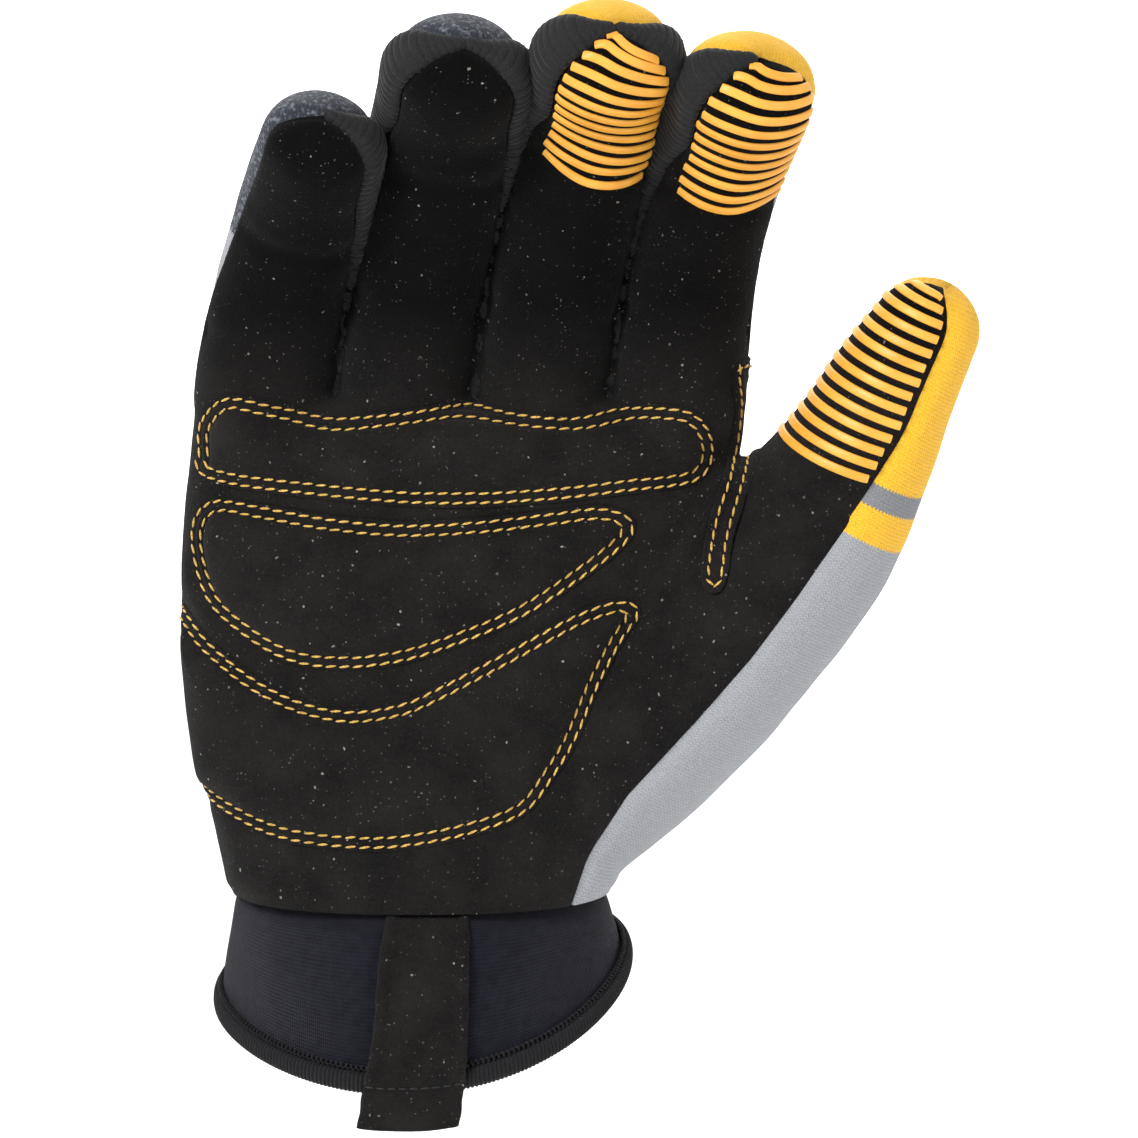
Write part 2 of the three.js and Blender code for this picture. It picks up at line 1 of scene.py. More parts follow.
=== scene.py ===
import math

import bpy
import numpy as np
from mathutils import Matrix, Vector, noise
from mathutils.bvhtree import BVHTree


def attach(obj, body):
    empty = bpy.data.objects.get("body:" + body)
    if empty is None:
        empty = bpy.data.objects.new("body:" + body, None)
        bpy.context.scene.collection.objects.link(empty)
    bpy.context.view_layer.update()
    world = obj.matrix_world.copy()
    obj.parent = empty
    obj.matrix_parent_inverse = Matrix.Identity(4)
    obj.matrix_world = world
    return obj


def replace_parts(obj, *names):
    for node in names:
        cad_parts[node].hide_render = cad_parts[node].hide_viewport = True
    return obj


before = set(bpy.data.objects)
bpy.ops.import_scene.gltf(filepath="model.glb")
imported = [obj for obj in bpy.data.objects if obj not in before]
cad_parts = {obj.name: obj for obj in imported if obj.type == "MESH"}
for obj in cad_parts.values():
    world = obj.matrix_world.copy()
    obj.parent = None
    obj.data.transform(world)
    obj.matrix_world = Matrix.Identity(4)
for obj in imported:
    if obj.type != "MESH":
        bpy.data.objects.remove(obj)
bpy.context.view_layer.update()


# The shape that the filled glove has: a hand, four curled fingers and a thumb, each a smooth
# tube through sections [x, y, z, half width, half depth]. They are grown into one soft skin,
# which all the cloth pieces are cut from. Millimetres throughout; MM turns them to metres.
MM = 0.001
HAND_ROWS = [
    [1.0, -3.0, 10.0, 35.0, 26.0], [1.0, -3.0, 17.0, 35.5, 25.2], [1.5, -3.0, 24.5, 37.2, 23.2],
    [1.9, -3.0, 33.5, 39.6, 20.8], [2.3, -3.0, 43.0, 42.6, 19.6], [3.4, -3.2, 57.0, 45.2, 18.8],
    [5.2, -3.4, 71.0, 47.4, 18.2], [7.0, -3.6, 85.0, 48.6, 17.2], [9.0, -3.8, 98.0, 49.2, 14.8],
    [9.8, -3.9, 104.0, 49.2, 12.8], [10.1, -4.0, 106.6, 48.6, 9.0], [10.1, -4.0, 107.5, 48.0, 4.5],
]
FINGER_ROWS = {
    "little": [
        [-27.2, -3.8, 97.0, 10.4, 9.6], [-26.9, -4.0, 107.0, 12.5, 11.6],
        [-24.1, -5.0, 124.4, 11.9, 10.8], [-19.0, -14.2, 143.0, 11.0, 10.2],
        [-15.0, -26.0, 154.2, 10.5, 9.6],
    ],
    "ring": [
        [-2.6, -3.8, 97.0, 10.4, 11.0], [-1.3, -4.0, 107.3, 11.7, 12.2],
        [1.6, -5.0, 131.0, 11.7, 11.4], [6.6, -17.2, 155.6, 12.1, 10.8],
        [9.2, -29.6, 166.4, 12.1, 10.4],
    ],
    "middle": [
        [21.6, -3.8, 97.0, 10.4, 11.2], [22.9, -4.0, 107.3, 11.6, 12.4],
        [26.2, -5.0, 132.2, 11.7, 11.6], [31.9, -18.0, 158.0, 12.0, 11.0],
        [34.4, -30.8, 168.8, 12.2, 10.6],
    ],
    "index": [
        [45.6, -3.8, 97.0, 10.4, 10.0], [47.2, -4.0, 107.3, 11.9, 12.4],
        [50.2, -5.0, 130.4, 11.4, 11.4], [55.2, -17.0, 152.4, 11.3, 10.8],
        [58.2, -29.4, 163.6, 11.9, 10.4],
    ],
}
FINGER_TIPS = {"little": 9.6, "ring": 10.4, "middle": 10.8, "index": 10.6}
THUMB_ROWS = [
    [26.2, -4.0, 30.0, 14.0, 16.0], [41.4, -5.0, 46.2, 16.4, 17.2], [57.2, -7.0, 65.7, 18.0, 17.0],
    [71.0, -9.0, 84.6, 17.4, 15.2], [80.2, -11.0, 100.4, 13.8, 13.0], [86.0, -12.0, 112.2, 11.7, 11.4],
    [90.8, -13.0, 121.2, 9.6, 9.6],
]
WEB_ROWS = [
    [44.0, -4.5, 70.0, 12.0, 13.0], [52.0, -5.0, 82.0, 10.0, 11.0], [57.0, -5.5, 91.0, 7.5, 8.5],
]
THUMB_TIP, THUMB_TURN = 9.0, 40
WEB_TIP = 6.0
HAND_ROUNDING = 0.84  # the hand's section is a little squarer than an ellipse, which has 1
SKIN_GRAIN = 0.8  # size of the skin's faces
LENGTH_STEPS = 200


def unit(vectors):
    return vectors / np.maximum(np.linalg.norm(vectors, axis=-1, keepdims=True), 1e-9)


def smoothstep(low, high, value):
    t = np.clip((value - low) / (high - low), 0, 1)
    return t * t * (3 - 2 * t)


def between(a, b, c, d, w):
    """A smooth way from b, where w is 0, to c, where it is 1, with a before them and d after."""
    return 0.5 * (2 * b + (c - a) * w + (2 * a - 5 * b + 4 * c - d) * w**2 + (3 * b - 3 * c + d - a) * w**3)


def along_curve(rows, t):
    """Points at t, from 0 to 1, of a smooth curve through the rows."""
    ends = np.vstack([2 * rows[0] - rows[1], rows, 2 * rows[-1] - rows[-2]])
    x = np.clip(t, 0, 1) * (len(rows) - 1)
    i = np.minimum(x.astype(int), len(rows) - 2)
    return between(*(ends[i + k] for k in range(4)), (x - i)[:, None])


def lengths_along(line):
    """How far along a line each of its points is."""
    return np.concatenate([[0], np.cumsum(np.linalg.norm(np.diff(line, axis=0), axis=1))])


class Limb:
    """A finger, the thumb or the hand. s is 0 at its first row, 1 at its last and 2 at the end of
    its rounded tip; the angle is 0 at the palm side and grows towards the thumb side."""

    def __init__(self, rows, tip=0.0, turn=0.0):
        self.rows = np.array(rows, float)
        self.tip = tip
        self.side = np.array([math.cos(math.radians(turn)), -math.sin(math.radians(turn)), 0.0])
        self.power = 1.0 if tip else HAND_ROUNDING
        self.steps = lengths_along(along_curve(self.rows, np.linspace(0, 1, LENGTH_STEPS))[:, :3])

    def frames(self, s):
        t = np.clip(s, 0, 1)
        row = along_curve(self.rows, t)
        before, after = np.maximum(t - 1e-4, 0), np.minimum(t + 1e-4, 1)
        ahead = along_curve(self.rows, after) - along_curve(self.rows, before)
        tangent = unit(ahead[:, :3]) if self.tip else np.tile([0.0, 0.0, 1.0], (len(t), 1))
        lateral = unit(self.side - (tangent @ self.side)[:, None] * tangent)
        return row[:, :3], tangent, lateral, np.cross(lateral, tangent), row[:, 3], row[:, 4]

    def points(self, s, angle, grow=0.0):
        s, angle = np.broadcast_arrays(np.atleast_1d(np.asarray(s, float)), np.asarray(angle, float))
        centre, tangent, lateral, front, width, depth = self.frames(s)
        over = np.radians(90 * np.maximum(0, s - 1))
        bend = lambda v: np.sign(v) * np.abs(v) ** self.power
        across = (width + grow) * np.cos(over) * bend(np.sin(np.radians(angle)))
        forward = (depth + grow) * np.cos(over) * bend(np.cos(np.radians(angle)))
        up = (self.tip + grow) * np.sin(over)
        return centre + tangent * up[:, None] + lateral * across[:, None] + front * forward[:, None]

    def locate(self, points):
        """The s, the angle and the share of the limb's radius at each point."""
        t = np.linspace(0, 1, 121)
        centres, tangents = self.frames(t)[:2]
        best = np.full(len(points), np.inf)
        index = np.zeros(len(points), int)
        for i, centre in enumerate(centres):
            distance = ((points - centre) ** 2).sum(1)
            closer = distance < best
            best[closer] = distance[closer]
            index[closer] = i
        ahead = ((points - centres[index]) * tangents[index]).sum(1)
        s = np.clip(t[index] + ahead / self.steps[-1], 0, 1)
        centre, tangent, lateral, front, width, depth = self.frames(s)
        offset = points - centre
        height = (offset * tangent).sum(1) / self.tip
        past_end = np.where(s > 0.999, np.arcsin(np.clip(height, 0, 1)) / (math.pi / 2), 0)
        a = (offset * lateral).sum(1) / width
        b = (offset * front).sum(1) / depth
        return s + past_end, np.degrees(np.arctan2(a, b)), np.sqrt(a**2 + b**2 + height**2)

    def from_end(self, s):
        """Millimetres of cloth from the tip's end down to s."""
        s = np.asarray(s, float)
        length = np.interp(np.clip(s, 0, 1), np.linspace(0, 1, LENGTH_STEPS), self.steps)
        return (1 - np.clip(s - 1, 0, 1)) * self.tip * math.pi / 2 + self.steps[-1] - length


def mesh_from(name, vertices, faces):
    mesh = bpy.data.meshes.new(name)
    mesh.from_pydata((np.asarray(vertices) * MM).tolist(), [], [list(map(int, f)) for f in faces])
    mesh.update()
    mesh.shade_smooth()
    return mesh


def show(name, mesh):
    piece = bpy.data.objects.new(name, mesh)
    bpy.context.scene.collection.objects.link(piece)
    return piece


def made_of(material, name, vertices, faces):
    piece = show(name, mesh_from(name, vertices, faces))
    piece.data.materials.append(material)
    return piece


def give_wall(piece, thickness, name="wall"):
    """A wall of this many millimetres, which grows inwards from the piece's face."""
    wall = piece.modifiers.new(name, "SOLIDIFY")
    wall.thickness = thickness * MM
    wall.offset = -1


def note_on(mesh, label, values):
    """Writes a value at each point of the mesh, for a finish or a tree to read."""
    mesh.attributes.new(label, "FLOAT", "POINT").data.foreach_set("value", np.asarray(values, np.float32))


def settled(piece):
    """The piece with its modifiers worked into its mesh."""
    evaluated = piece.evaluated_get(bpy.context.evaluated_depsgraph_get())
    mesh = bpy.data.meshes.new_from_object(evaluated)
    piece.modifiers.clear()
    old = piece.data
    piece.data = mesh
    bpy.data.meshes.remove(old)
    return piece


def grid_faces(rows, columns, closed=False):
    """Quads between rows of points, each row joined to itself where it is closed."""
    i, j = np.meshgrid(np.arange(rows - 1), np.arange(columns if closed else columns - 1), indexing="ij")
    this_row, next_row, k = i * columns, (i + 1) * columns, (j + 1) % columns
    return np.stack([this_row + j, this_row + k, next_row + k, next_row + j], -1).reshape(-1, 4)


def limb_shell(limb):
    """A closed shell round a limb, in rings up its length and over its tip."""
    columns, stations = 72, np.linspace(0, 1, 60)
    if limb.tip:
        stations = np.concatenate([stations, np.linspace(1.06, 1.97, 16)])
    s = np.repeat(stations, columns)
    angle = np.tile(np.arange(columns) * 360 / columns, len(stations))
    points = limb.points(s, angle)
    faces = grid_faces(len(stations), columns, closed=True).tolist()
    faces += [list(range(columns))[::-1], list(range(len(points) - columns, len(points)))]
    return points, faces


fingers = {name: Limb(rows, FINGER_TIPS[name]) for name, rows in FINGER_ROWS.items()}
thumb = Limb(THUMB_ROWS, THUMB_TIP, THUMB_TURN)
shells = [limb_shell(limb) for limb in [Limb(HAND_ROWS), thumb, Limb(WEB_ROWS, WEB_TIP), *fingers.values()]]
all_points, all_faces = [], []
for points, faces in shells:
    start = sum(len(p) for p in all_points)
    all_points.append(points)
    all_faces += [[start + i for i in face] for face in faces]
skin = show("skin", mesh_from("skin", np.vstack(all_points), all_faces))
remesh = skin.modifiers.new("one skin", "REMESH")
remesh.mode = "VOXEL"
remesh.voxel_size = SKIN_GRAIN * MM
settled(skin)


def arrays_of(mesh):
    vertices = np.empty(len(mesh.vertices) * 3)
    mesh.vertices.foreach_get("co", vertices)
    return vertices.reshape(-1, 3) / MM, [tuple(p.vertices) for p in mesh.polygons]


def edges_of(faces):
    pairs = set()
    for face in faces:
        for a, b in zip(face, face[1:] + face[:1]):
            pairs.add((a, b) if a < b else (b, a))
    return np.array(sorted(pairs))


def averaged(values, edges, share, rounds=1):
    """Each vertex's value moved by share towards the mean of its neighbours'."""
    count = np.bincount(edges.ravel(), minlength=len(values)).astype(float)[:, None]
    values = values.reshape(len(values), -1).astype(float)
    for _ in range(rounds):
        total = np.zeros_like(values)
        for k in range(values.shape[1]):
            total[:, k] += np.bincount(edges[:, 0], values[edges[:, 1], k], len(values))
            total[:, k] += np.bincount(edges[:, 1], values[edges[:, 0], k], len(values))
        values = values + share * (total / np.maximum(count, 1) - values)
    return values


def normals_of(vertices, faces):
    quads = np.array([(*f, f[-1])[:4] for f in faces])
    a, b, c, d = (vertices[quads[:, corner]] for corner in range(4))
    across = np.cross(c - a, d - b)
    normals = np.zeros_like(vertices)
    for corner in range(4):
        for k in range(3):
            normals[:, k] += np.bincount(quads[:, corner], across[:, k], len(vertices))
    return unit(normals)


def tree_of(at, faces):
    """A surface that places can be looked up on."""
    return BVHTree.FromPolygons([Vector(p) for p in at], faces)


skin_at, skin_faces = arrays_of(skin.data)
skin_edges = edges_of(skin_faces)
# Smoothed and swollen again in turns, so that the skin doesn't shrink
for share in (0.5, -0.52) * 8:
    skin_at = averaged(skin_at, skin_edges, share)
# The crotches and the web are drawn smooth, as cloth stretched over them is
CROTCH_HEIGHT, CROTCH_SPREAD, CROTCH_ROUNDS = 106, 5, 10
crotch = np.exp(-(((skin_at[:, 2] - CROTCH_HEIGHT) / CROTCH_SPREAD) ** 2))[:, None]
for _ in range(CROTCH_ROUNDS):
    skin_at = skin_at + crotch * (averaged(skin_at, skin_edges, 0.6) - skin_at)
bpy.data.objects.remove(skin)


# Every place on the skin knows which finger it is on and how far it lies from each seam. A seam
# is the zero line of a field in millimetres, which is positive on one of the pieces it joins.
# The suede lobe up each finger: its half width in degrees on the left and the right, where it
# ends, and how square its arch is. The ribbed strips reach as far as the second pair of angles.
LOBES = {
    "little": {"suede": (60.0, 58.0), "top": 1.99, "square": 4.0, "knit": (105.0, 110.0), "knit_top": 1.98},
    "ring": {"suede": (60.0, 58.0), "top": 1.965, "square": 3.6, "knit": (112.0, 112.0), "knit_top": 1.95},
    "middle": {"suede": (51.0, 66.0), "top": 1.97, "square": 4.0, "knit": (112.0, 112.0), "knit_top": 1.96},
    "index": {"suede": (52.0, 60.0), "top": 1.97, "square": 4.5, "knit": (104.0, 105.0), "knit_top": 1.93},
}
ARCH_START = 0.9
FOOT_ANGLE = 86.0
THUMB_LOBE, THUMB_TOP = 62.0, 1.9
MM_PER_DEGREE, MM_PER_THUMB_DEGREE = 0.2, 0.26
FAR_FROM_END = 90.0  # stands for everywhere off the fingers, past all the bands of colour
PALM_BOTTOM = 17.0
BODY_SEAM_Y = -1.0
HAND_LEFT, SEAM_LOW, SEAM_HIGH = -150, 8, 112
SIDE_SEAM = [
    (27.5, 8), (28.8, 17.5), (31.6, 25.6), (38.6, 37.9), (51.5, 53.1), (60.4, 64), (68.6, 75.6), (76.8, 88.2),
    (74, 93), (62.5, 99), (62.5, 112),
]
BACK_SEAM = [(34, 8), (37, 24), (44, 46), (53, 70), (58, 88), (60.5, 99), (60.5, 150)]
# The hand's outer sides have no strip. Side, and the seam's angle at the foot, half way and at the tip
OUTER_SIDES = {"little": (-1, 105.0, 74.0, 84.0), "index": (1, 105.0, 72.0, 86.0)}


def outer_seam(name, s):
    _, foot, end, top = OUTER_SIDES[name]
    return foot + (end - foot) * smoothstep(0.2, 0.8, s) + (top - end) * smoothstep(0.9, 1.4, s)


def wider_at_foot(angle, s):
    """The suede's half width: low down the fingers touch, and it reaches round to where they do."""
    return angle + (FOOT_ANGLE - angle) * (1 - smoothstep(0.58, 0.92, s))


def arch_field(s, angle, wide, top, square=2.0):
    """Positive below an arch that is wide degrees to each side and closes at top."""
    rise = np.maximum(0, s - ARCH_START) / (top - ARCH_START)
    return (1 - np.abs(angle / wide) ** square - rise**square) * wide / square * MM_PER_DEGREE


def inside(outline, x, z):
    """Distance in from an outline in x and z, negative outside it."""
    outline = np.asarray(outline, float)
    best = np.full(len(x), np.inf)
    within = np.zeros(len(x), bool)
    for (x0, z0), (x1, z1) in zip(outline, np.roll(outline, -1, axis=0)):
        span = np.array([x1 - x0, z1 - z0])
        t = np.clip(((x - x0) * span[0] + (z - z0) * span[1]) / (span @ span), 0, 1)
        best = np.minimum(best, np.hypot(x - x0 - t * span[0], z - z0 - t * span[1]))
        crosses = (z0 > z) != (z1 > z)
        within ^= crosses & (x < x0 + (z - z0) / (z1 - z0 + 1e-12) * span[0])
    return np.where(within, best, -best)


def soft_min(a, b, softness=1.5):
    h = np.clip(0.5 + 0.5 * (b - a) / softness, 0, 1)
    return b + (a - b) * h - softness * h * (1 - h)


def soft_max(a, b, softness=1.5):
    return -soft_min(-a, -b, softness)


def thumb_lobe(s, angle):
    """Half width of the thumb's lobe in degrees: less low down on its outer side."""
    return THUMB_LOBE - 18 * (1 - smoothstep(0.45, 0.8, s)) * (np.asarray(angle) > 0)


class Place:
    """What the seams and the finishes need to know about points of the skin."""

    def __init__(self, at):
        x, y, z = at.T
        found = {name: limb.locate(at) for name, limb in fingers.items()}
        share = np.stack([found[name][2] for name in fingers])
        self.finger = share.argmin(0)
        pick = lambda k: np.choose(self.finger, [found[name][k] for name in fingers])
        self.s, self.angle = pick(0), pick(1)
        self.thumb_s, self.thumb_angle, self.thumb_share = thumb.locate(at)
        self.on_finger = smoothstep(100, 109, z) * (share.min(0) < self.thumb_share)
        reach = [limb.from_end(self.s) for limb in fingers.values()]
        tip_reach = np.choose(self.finger, reach)
        self.from_end = np.where(self.on_finger > 0.5, tip_reach, FAR_FROM_END)
        on_thumb = (self.thumb_share < share.min(0)) & (self.thumb_share < 1.2) & (self.thumb_s > 0.2)
        self.from_end = np.where(on_thumb, thumb.from_end(self.thumb_s), self.from_end)
        self.part = np.where(on_thumb, 4, self.finger)

        lobe_of = lambda key: np.choose(self.finger, [LOBES[name][key] for name in fingers])
        side_of = lambda key: np.where(self.angle < 0, *(
            np.choose(self.finger, [LOBES[name][key][k] for name in fingers]) for k in (0, 1)
        ))
        suede_side, knit_side = wider_at_foot(side_of("suede"), self.s), side_of("knit")
        names = list(fingers)
        plain = np.zeros(len(at), bool)
        for name, (side, *_) in OUTER_SIDES.items():
            outer = (self.finger == names.index(name)) & (np.sign(self.angle) == side)
            seam = outer_seam(name, self.s)
            suede_side = np.where(outer, seam, suede_side)
            knit_side = np.where(outer, seam, knit_side)
            plain |= outer
        suede_on_finger = arch_field(self.s, self.angle, suede_side, lobe_of("top"), lobe_of("square"))
        knit_top = np.where(plain, lobe_of("top"), lobe_of("knit_top"))
        knit_on_finger = -arch_field(self.s, self.angle, knit_side, knit_top, lobe_of("square"))
        knit_on_finger = np.minimum(knit_on_finger, -suede_on_finger)

        # How far across and along the cloth each place is, for the knit's pattern
        around = np.sign(self.angle) * (180 - np.abs(self.angle)) * MM_PER_DEGREE
        limbs = fingers.values()
        foot_x = np.choose(self.finger, [limb.rows[1, 0] for limb in limbs])
        foot_z = np.choose(self.finger, [limb.rows[1, 2] + limb.from_end([0.25])[0] for limb in limbs])
        w = self.on_finger
        self.across = x * (1 - w) + (foot_x + around) * w
        self.along = z * (1 - w) + (foot_z - tip_reach) * w
        axis = unit(thumb.rows[-1, :3] - thumb.rows[0, :3])
        self.thumb_across = self.thumb_angle * MM_PER_THUMB_DEGREE
        self.thumb_along = (at - thumb.rows[0, :3]) @ axis

        outline = [(HAND_LEFT, SEAM_LOW), *SIDE_SEAM, (HAND_LEFT, SEAM_HIGH)]
        suede_on_hand = soft_min(inside(outline, x, z), BODY_SEAM_Y - y)
        half_width = thumb_lobe(self.thumb_s, self.thumb_angle)
        lobe = arch_field(self.thumb_s, self.thumb_angle, half_width, THUMB_TOP) * 1.1
        lobe = lobe - 40 * np.maximum(0, 0.5 - self.thumb_s) - 60 * np.maximum(0, self.thumb_share - 1.12)
        suede_on_hand = soft_max(suede_on_hand, np.maximum(lobe, -30))
        bottom = z - PALM_BOTTOM - 1.4 * np.clip(-(y + 3) / 25, 0, 1)
        mix = lambda on_hand, on_finger: on_hand * (1 - self.on_finger) + on_finger * self.on_finger
        self.suede = soft_min(mix(suede_on_hand, suede_on_finger), bottom, 0.5)
        self.knit = soft_min(mix(-suede_on_hand, knit_on_finger), bottom, 0.5)
        seam_x = np.interp(z, [p[1] for p in BACK_SEAM], [p[0] for p in BACK_SEAM])
        beyond = np.where(self.on_finger > 0, -8.0, np.maximum(x - seam_x, -3.0 - y))
        self.thumb_knit = soft_min(self.knit, beyond, 0.5)
        self.back_knit = soft_min(self.knit, -beyond, 0.5)


def as_distance(field, at, edges):
    """A field scaled so that near its zero line it is the distance from it."""
    slope = np.abs(field[edges[:, 0]] - field[edges[:, 1]])
    slope /= np.linalg.norm(at[edges[:, 0]] - at[edges[:, 1]], axis=1) + 1e-6
    steepest = np.zeros(len(field))
    np.maximum.at(steepest, edges[:, 0], slope)
    np.maximum.at(steepest, edges[:, 1], slope)
    steepest = averaged(steepest, edges, 0.7, 4)[:, 0]
    return field / np.clip(steepest, 0.25, 4)


def cut(at, faces, field, data):
    """Keeps the faces where the field is positive, trimmed along its zero line."""
    at, data = list(at), list(data)
    new, kept = {}, []
    inner = field > 0
    for face in faces:
        flags = [inner[i] for i in face]
        if all(flags):
            kept.append(face)
        elif any(flags):
            ring = []
            for a, b in zip(face, face[1:] + face[:1]):
                if inner[a]:
                    ring.append(a)
                if inner[a] != inner[b]:
                    key = (a, b) if a < b else (b, a)
                    if key not in new:
                        t = field[key[0]] / (field[key[0]] - field[key[1]])
                        new[key] = len(at)
                        at.append(at[key[0]] * (1 - t) + at[key[1]] * t)
                        data.append(data[key[0]] * (1 - t) + data[key[1]] * t)
                    ring.append(new[key])
            if len(ring) > 2:
                kept.append(tuple(ring))
    used = sorted({i for face in kept for i in face})
    renamed = {old: k for k, old in enumerate(used)}
    kept = [tuple(renamed[i] for i in face) for face in kept]
    return np.array([at[i] for i in used]), kept, np.array([data[i] for i in used])


place = Place(skin_at)
skin_normals = normals_of(skin_at, skin_faces)
if (skin_normals * (skin_at - skin_at.mean(0))).sum() < 0:
    skin_faces = [face[::-1] for face in skin_faces]
    skin_normals = -skin_normals
suede_seam = as_distance(place.suede, skin_at, skin_edges)
thumb_knit_seam = as_distance(place.thumb_knit, skin_at, skin_edges)
back_knit_seam = as_distance(place.back_knit, skin_at, skin_edges)


# Black microfibre suede, split and brushed: no shine, a short nap that is lighter where it lies
# another way, a fine pebbled grain, and pale lint caught in it.
def srgb(code):
    channels = [int(code[i:i + 2], 16) / 255 for i in (1, 3, 5)]
    return [c / 12.92 if c <= 0.04045 else ((c + 0.055) / 1.055) ** 2.4 for c in channels] + [1.0]


def node(tree, kind, inputs=(), **settings):
    made = tree.nodes.new(kind)
    for name, value in settings.items():
        setattr(made, name, value)
    for key, value in dict(inputs).items():
        if isinstance(value, bpy.types.NodeSocket):
            tree.links.new(value, made.inputs[key])
        else:
            made.inputs[key].default_value = value
    return made


def new_material(name, **shader):
    material = bpy.data.materials.new(name)
    material.use_nodes = True
    material.node_tree.nodes.clear()
    tree = material.node_tree
    surface = node(tree, "ShaderNodeBsdfPrincipled", shader)
    output = node(tree, "ShaderNodeOutputMaterial", {"Surface": surface.outputs["BSDF"]})
    output.name = "surface out"
    return material, tree, surface


def mixed(tree, factor, a, b):
    """The colour a where the factor is 0 and b where it is 1."""
    return node(tree, "ShaderNodeMix", {0: factor, 6: a, 7: b}, data_type="RGBA").outputs[2]


def combined(tree, operation, *values):
    return node(tree, "ShaderNodeMath", dict(enumerate(values)), operation=operation).outputs[0]


def spread(tree, value, low, high):
    """0 where the value is low, 1 where it is high."""
    return node(tree, "ShaderNodeMapRange", {0: value, 1: low, 2: high}).outputs[0]


def place_on(tree):
    return node(tree, "ShaderNodeTexCoord").outputs["Object"]


def cloudy(tree, at, per_metre, detail=2.0, roughness=0.5):
    """An uneven value round 0.5."""
    return node(tree, "ShaderNodeTexNoise", {
        "Vector": at, "Scale": per_metre, "Detail": detail, "Roughness": roughness,
    }).outputs[0]


def dress(tree, surface, colour, height, strength, deep):
    """Gives a surface its colour, and a relief that is this many metres deep."""
    tree.links.new(colour, surface.inputs["Base Color"])
    relief = node(tree, "ShaderNodeBump", {"Height": height, "Strength": strength, "Distance": deep})
    tree.links.new(relief.outputs[0], surface.inputs["Normal"])


def lint_on(tree, at, per_metre, size, amount):
    """Caught fluff: small crooked specks, thinned out, each with its own strength."""
    bent = node(tree, "ShaderNodeTexNoise", {"Vector": at, "Scale": per_metre * 1.7}).outputs["Color"]
    moved = node(tree, "ShaderNodeVectorMath", {0: bent, "Scale": 0.5 / per_metre}, operation="SCALE")
    wander = node(tree, "ShaderNodeVectorMath", {0: at, 1: moved.outputs[0]}, operation="ADD")
    cells = node(tree, "ShaderNodeTexVoronoi", {"Vector": wander.outputs[0], "Scale": per_metre})
    share = node(tree, "ShaderNodeSeparateColor", {"Color": cells.outputs["Color"]})
    close = combined(tree, "LESS_THAN", cells.outputs["Distance"], size)
    chosen = combined(tree, "LESS_THAN", share.outputs[0], amount)
    return combined(tree, "MULTIPLY", combined(tree, "MULTIPLY", close, chosen), share.outputs[1])


def finish_suede(name, dark, light, amount):
    material, tree, surface = new_material(
        name, Roughness=0.95, **{"Sheen Weight": 0.03, "Sheen Roughness": 0.5, "Specular IOR Level": 0.06}
    )
    at = place_on(tree)
    nap, grain = cloudy(tree, at, 110.0, 5.0, 0.62), cloudy(tree, at, 2400.0, 3.0, 0.7)
    speckle = combined(tree, "MULTIPLY_ADD", spread(tree, nap, 0.32, 0.72), 0.4, grain)
    base = mixed(tree, spread(tree, speckle, 0.3, 1.1), srgb(dark), srgb(light))
    # Painted shade: above the palm, over the fingers, the suede's colour is darkened, and the nap makes where
    # this starts uneven
    height = node(tree, "ShaderNodeSeparateXYZ", {"Vector": at}).outputs[2]
    shade_up_fingers = combined(tree, "MULTIPLY_ADD", nap, 0.012, height)
    shaded_suede = node(tree, "ShaderNodeHueSaturation", {"Value": 0.2, "Color": base}).outputs[0]
    base = mixed(tree, spread(tree, shade_up_fingers, 0.112, 0.132), base, shaded_suede)
    fluff = combined(tree, "MAXIMUM", lint_on(tree, at, 520.0, 0.11, amount),
                     combined(tree, "MULTIPLY", lint_on(tree, at, 1350.0, 0.16, amount * 0.8), 0.45))
    dress(tree, surface, mixed(tree, fluff, base, srgb("#8a857e")), speckle, 0.7, 0.0004)
    return material


black_suede = finish_suede("brushed microfibre suede", "#0b0b0b", "#242221", 0.45)


# The palm: one piece of suede, cut with a lobe for each finger and the thumb. Its edges are
# turned under and sewn, so the cloth dips into each seam. Soft folds lie where the fingers bend
# and across the ball of the thumb.
CLOTH = 1.2
SEAM_DIP, SEAM_REACH = 0.9, 1.5


def ripple(at, size, seed):
    offset = Vector((seed * 17.3, seed * 5.1, seed * 9.7))
    return np.array([noise.noise(Vector(p) / size + offset) for p in at])


def fold(at, start, end, depth, reach):
    """A dent along the line between two places of the palm, seen from the front."""
    (x0, z0), (x1, z1) = start, end
    span = np.array([x1 - x0, z1 - z0])
    x, z = at[:, 0] - x0, at[:, 2] - z0
    t = np.clip((x * span[0] + z * span[1]) / (span @ span), 0, 1)
    off = np.hypot(x - t * span[0], z - t * span[1])
    fade = np.clip(1 - np.abs(2 * t - 1) ** 3, 0, 1)
    return -depth * fade * np.exp(-((off / reach) ** 2)) * (at[:, 1] < -4)


PALM_FOLDS = [
    ((-40, 87.5), (44, 89.5), 0.5, 2.2), ((44, 70), (60, 92), 0.8, 3.0), ((36, 52), (56, 82), 0.6, 3.5),
    ((22, 24), (44, 46), 0.5, 3.0), ((-30, 24), (20, 25), 0.4, 3.0), ((-33, 112), (-12, 110), 0.7, 2.0),
    ((-12, 112), (12, 110.5), 0.7, 2.0), ((12, 112), (36, 110.5), 0.7, 2.0), ((36, 112), (60, 109), 0.6, 2.0),
]
FINGER_FOLDS = [(0.42, 0.5), (0.7, 0.7)]  # how far up the fingers, and how deep
slow = ripple(skin_at, 17.0, 1) * 0.55 + ripple(skin_at, 6.5, 2) * 0.16
bend_fold = np.zeros(len(skin_at))
for at_s, deep in FINGER_FOLDS:
    bend_fold -= deep * np.exp(-(((place.s - at_s) * 55 + slow * 2) / 1.6) ** 2) * (np.abs(place.angle) < 75)
bend_fold *= place.on_finger


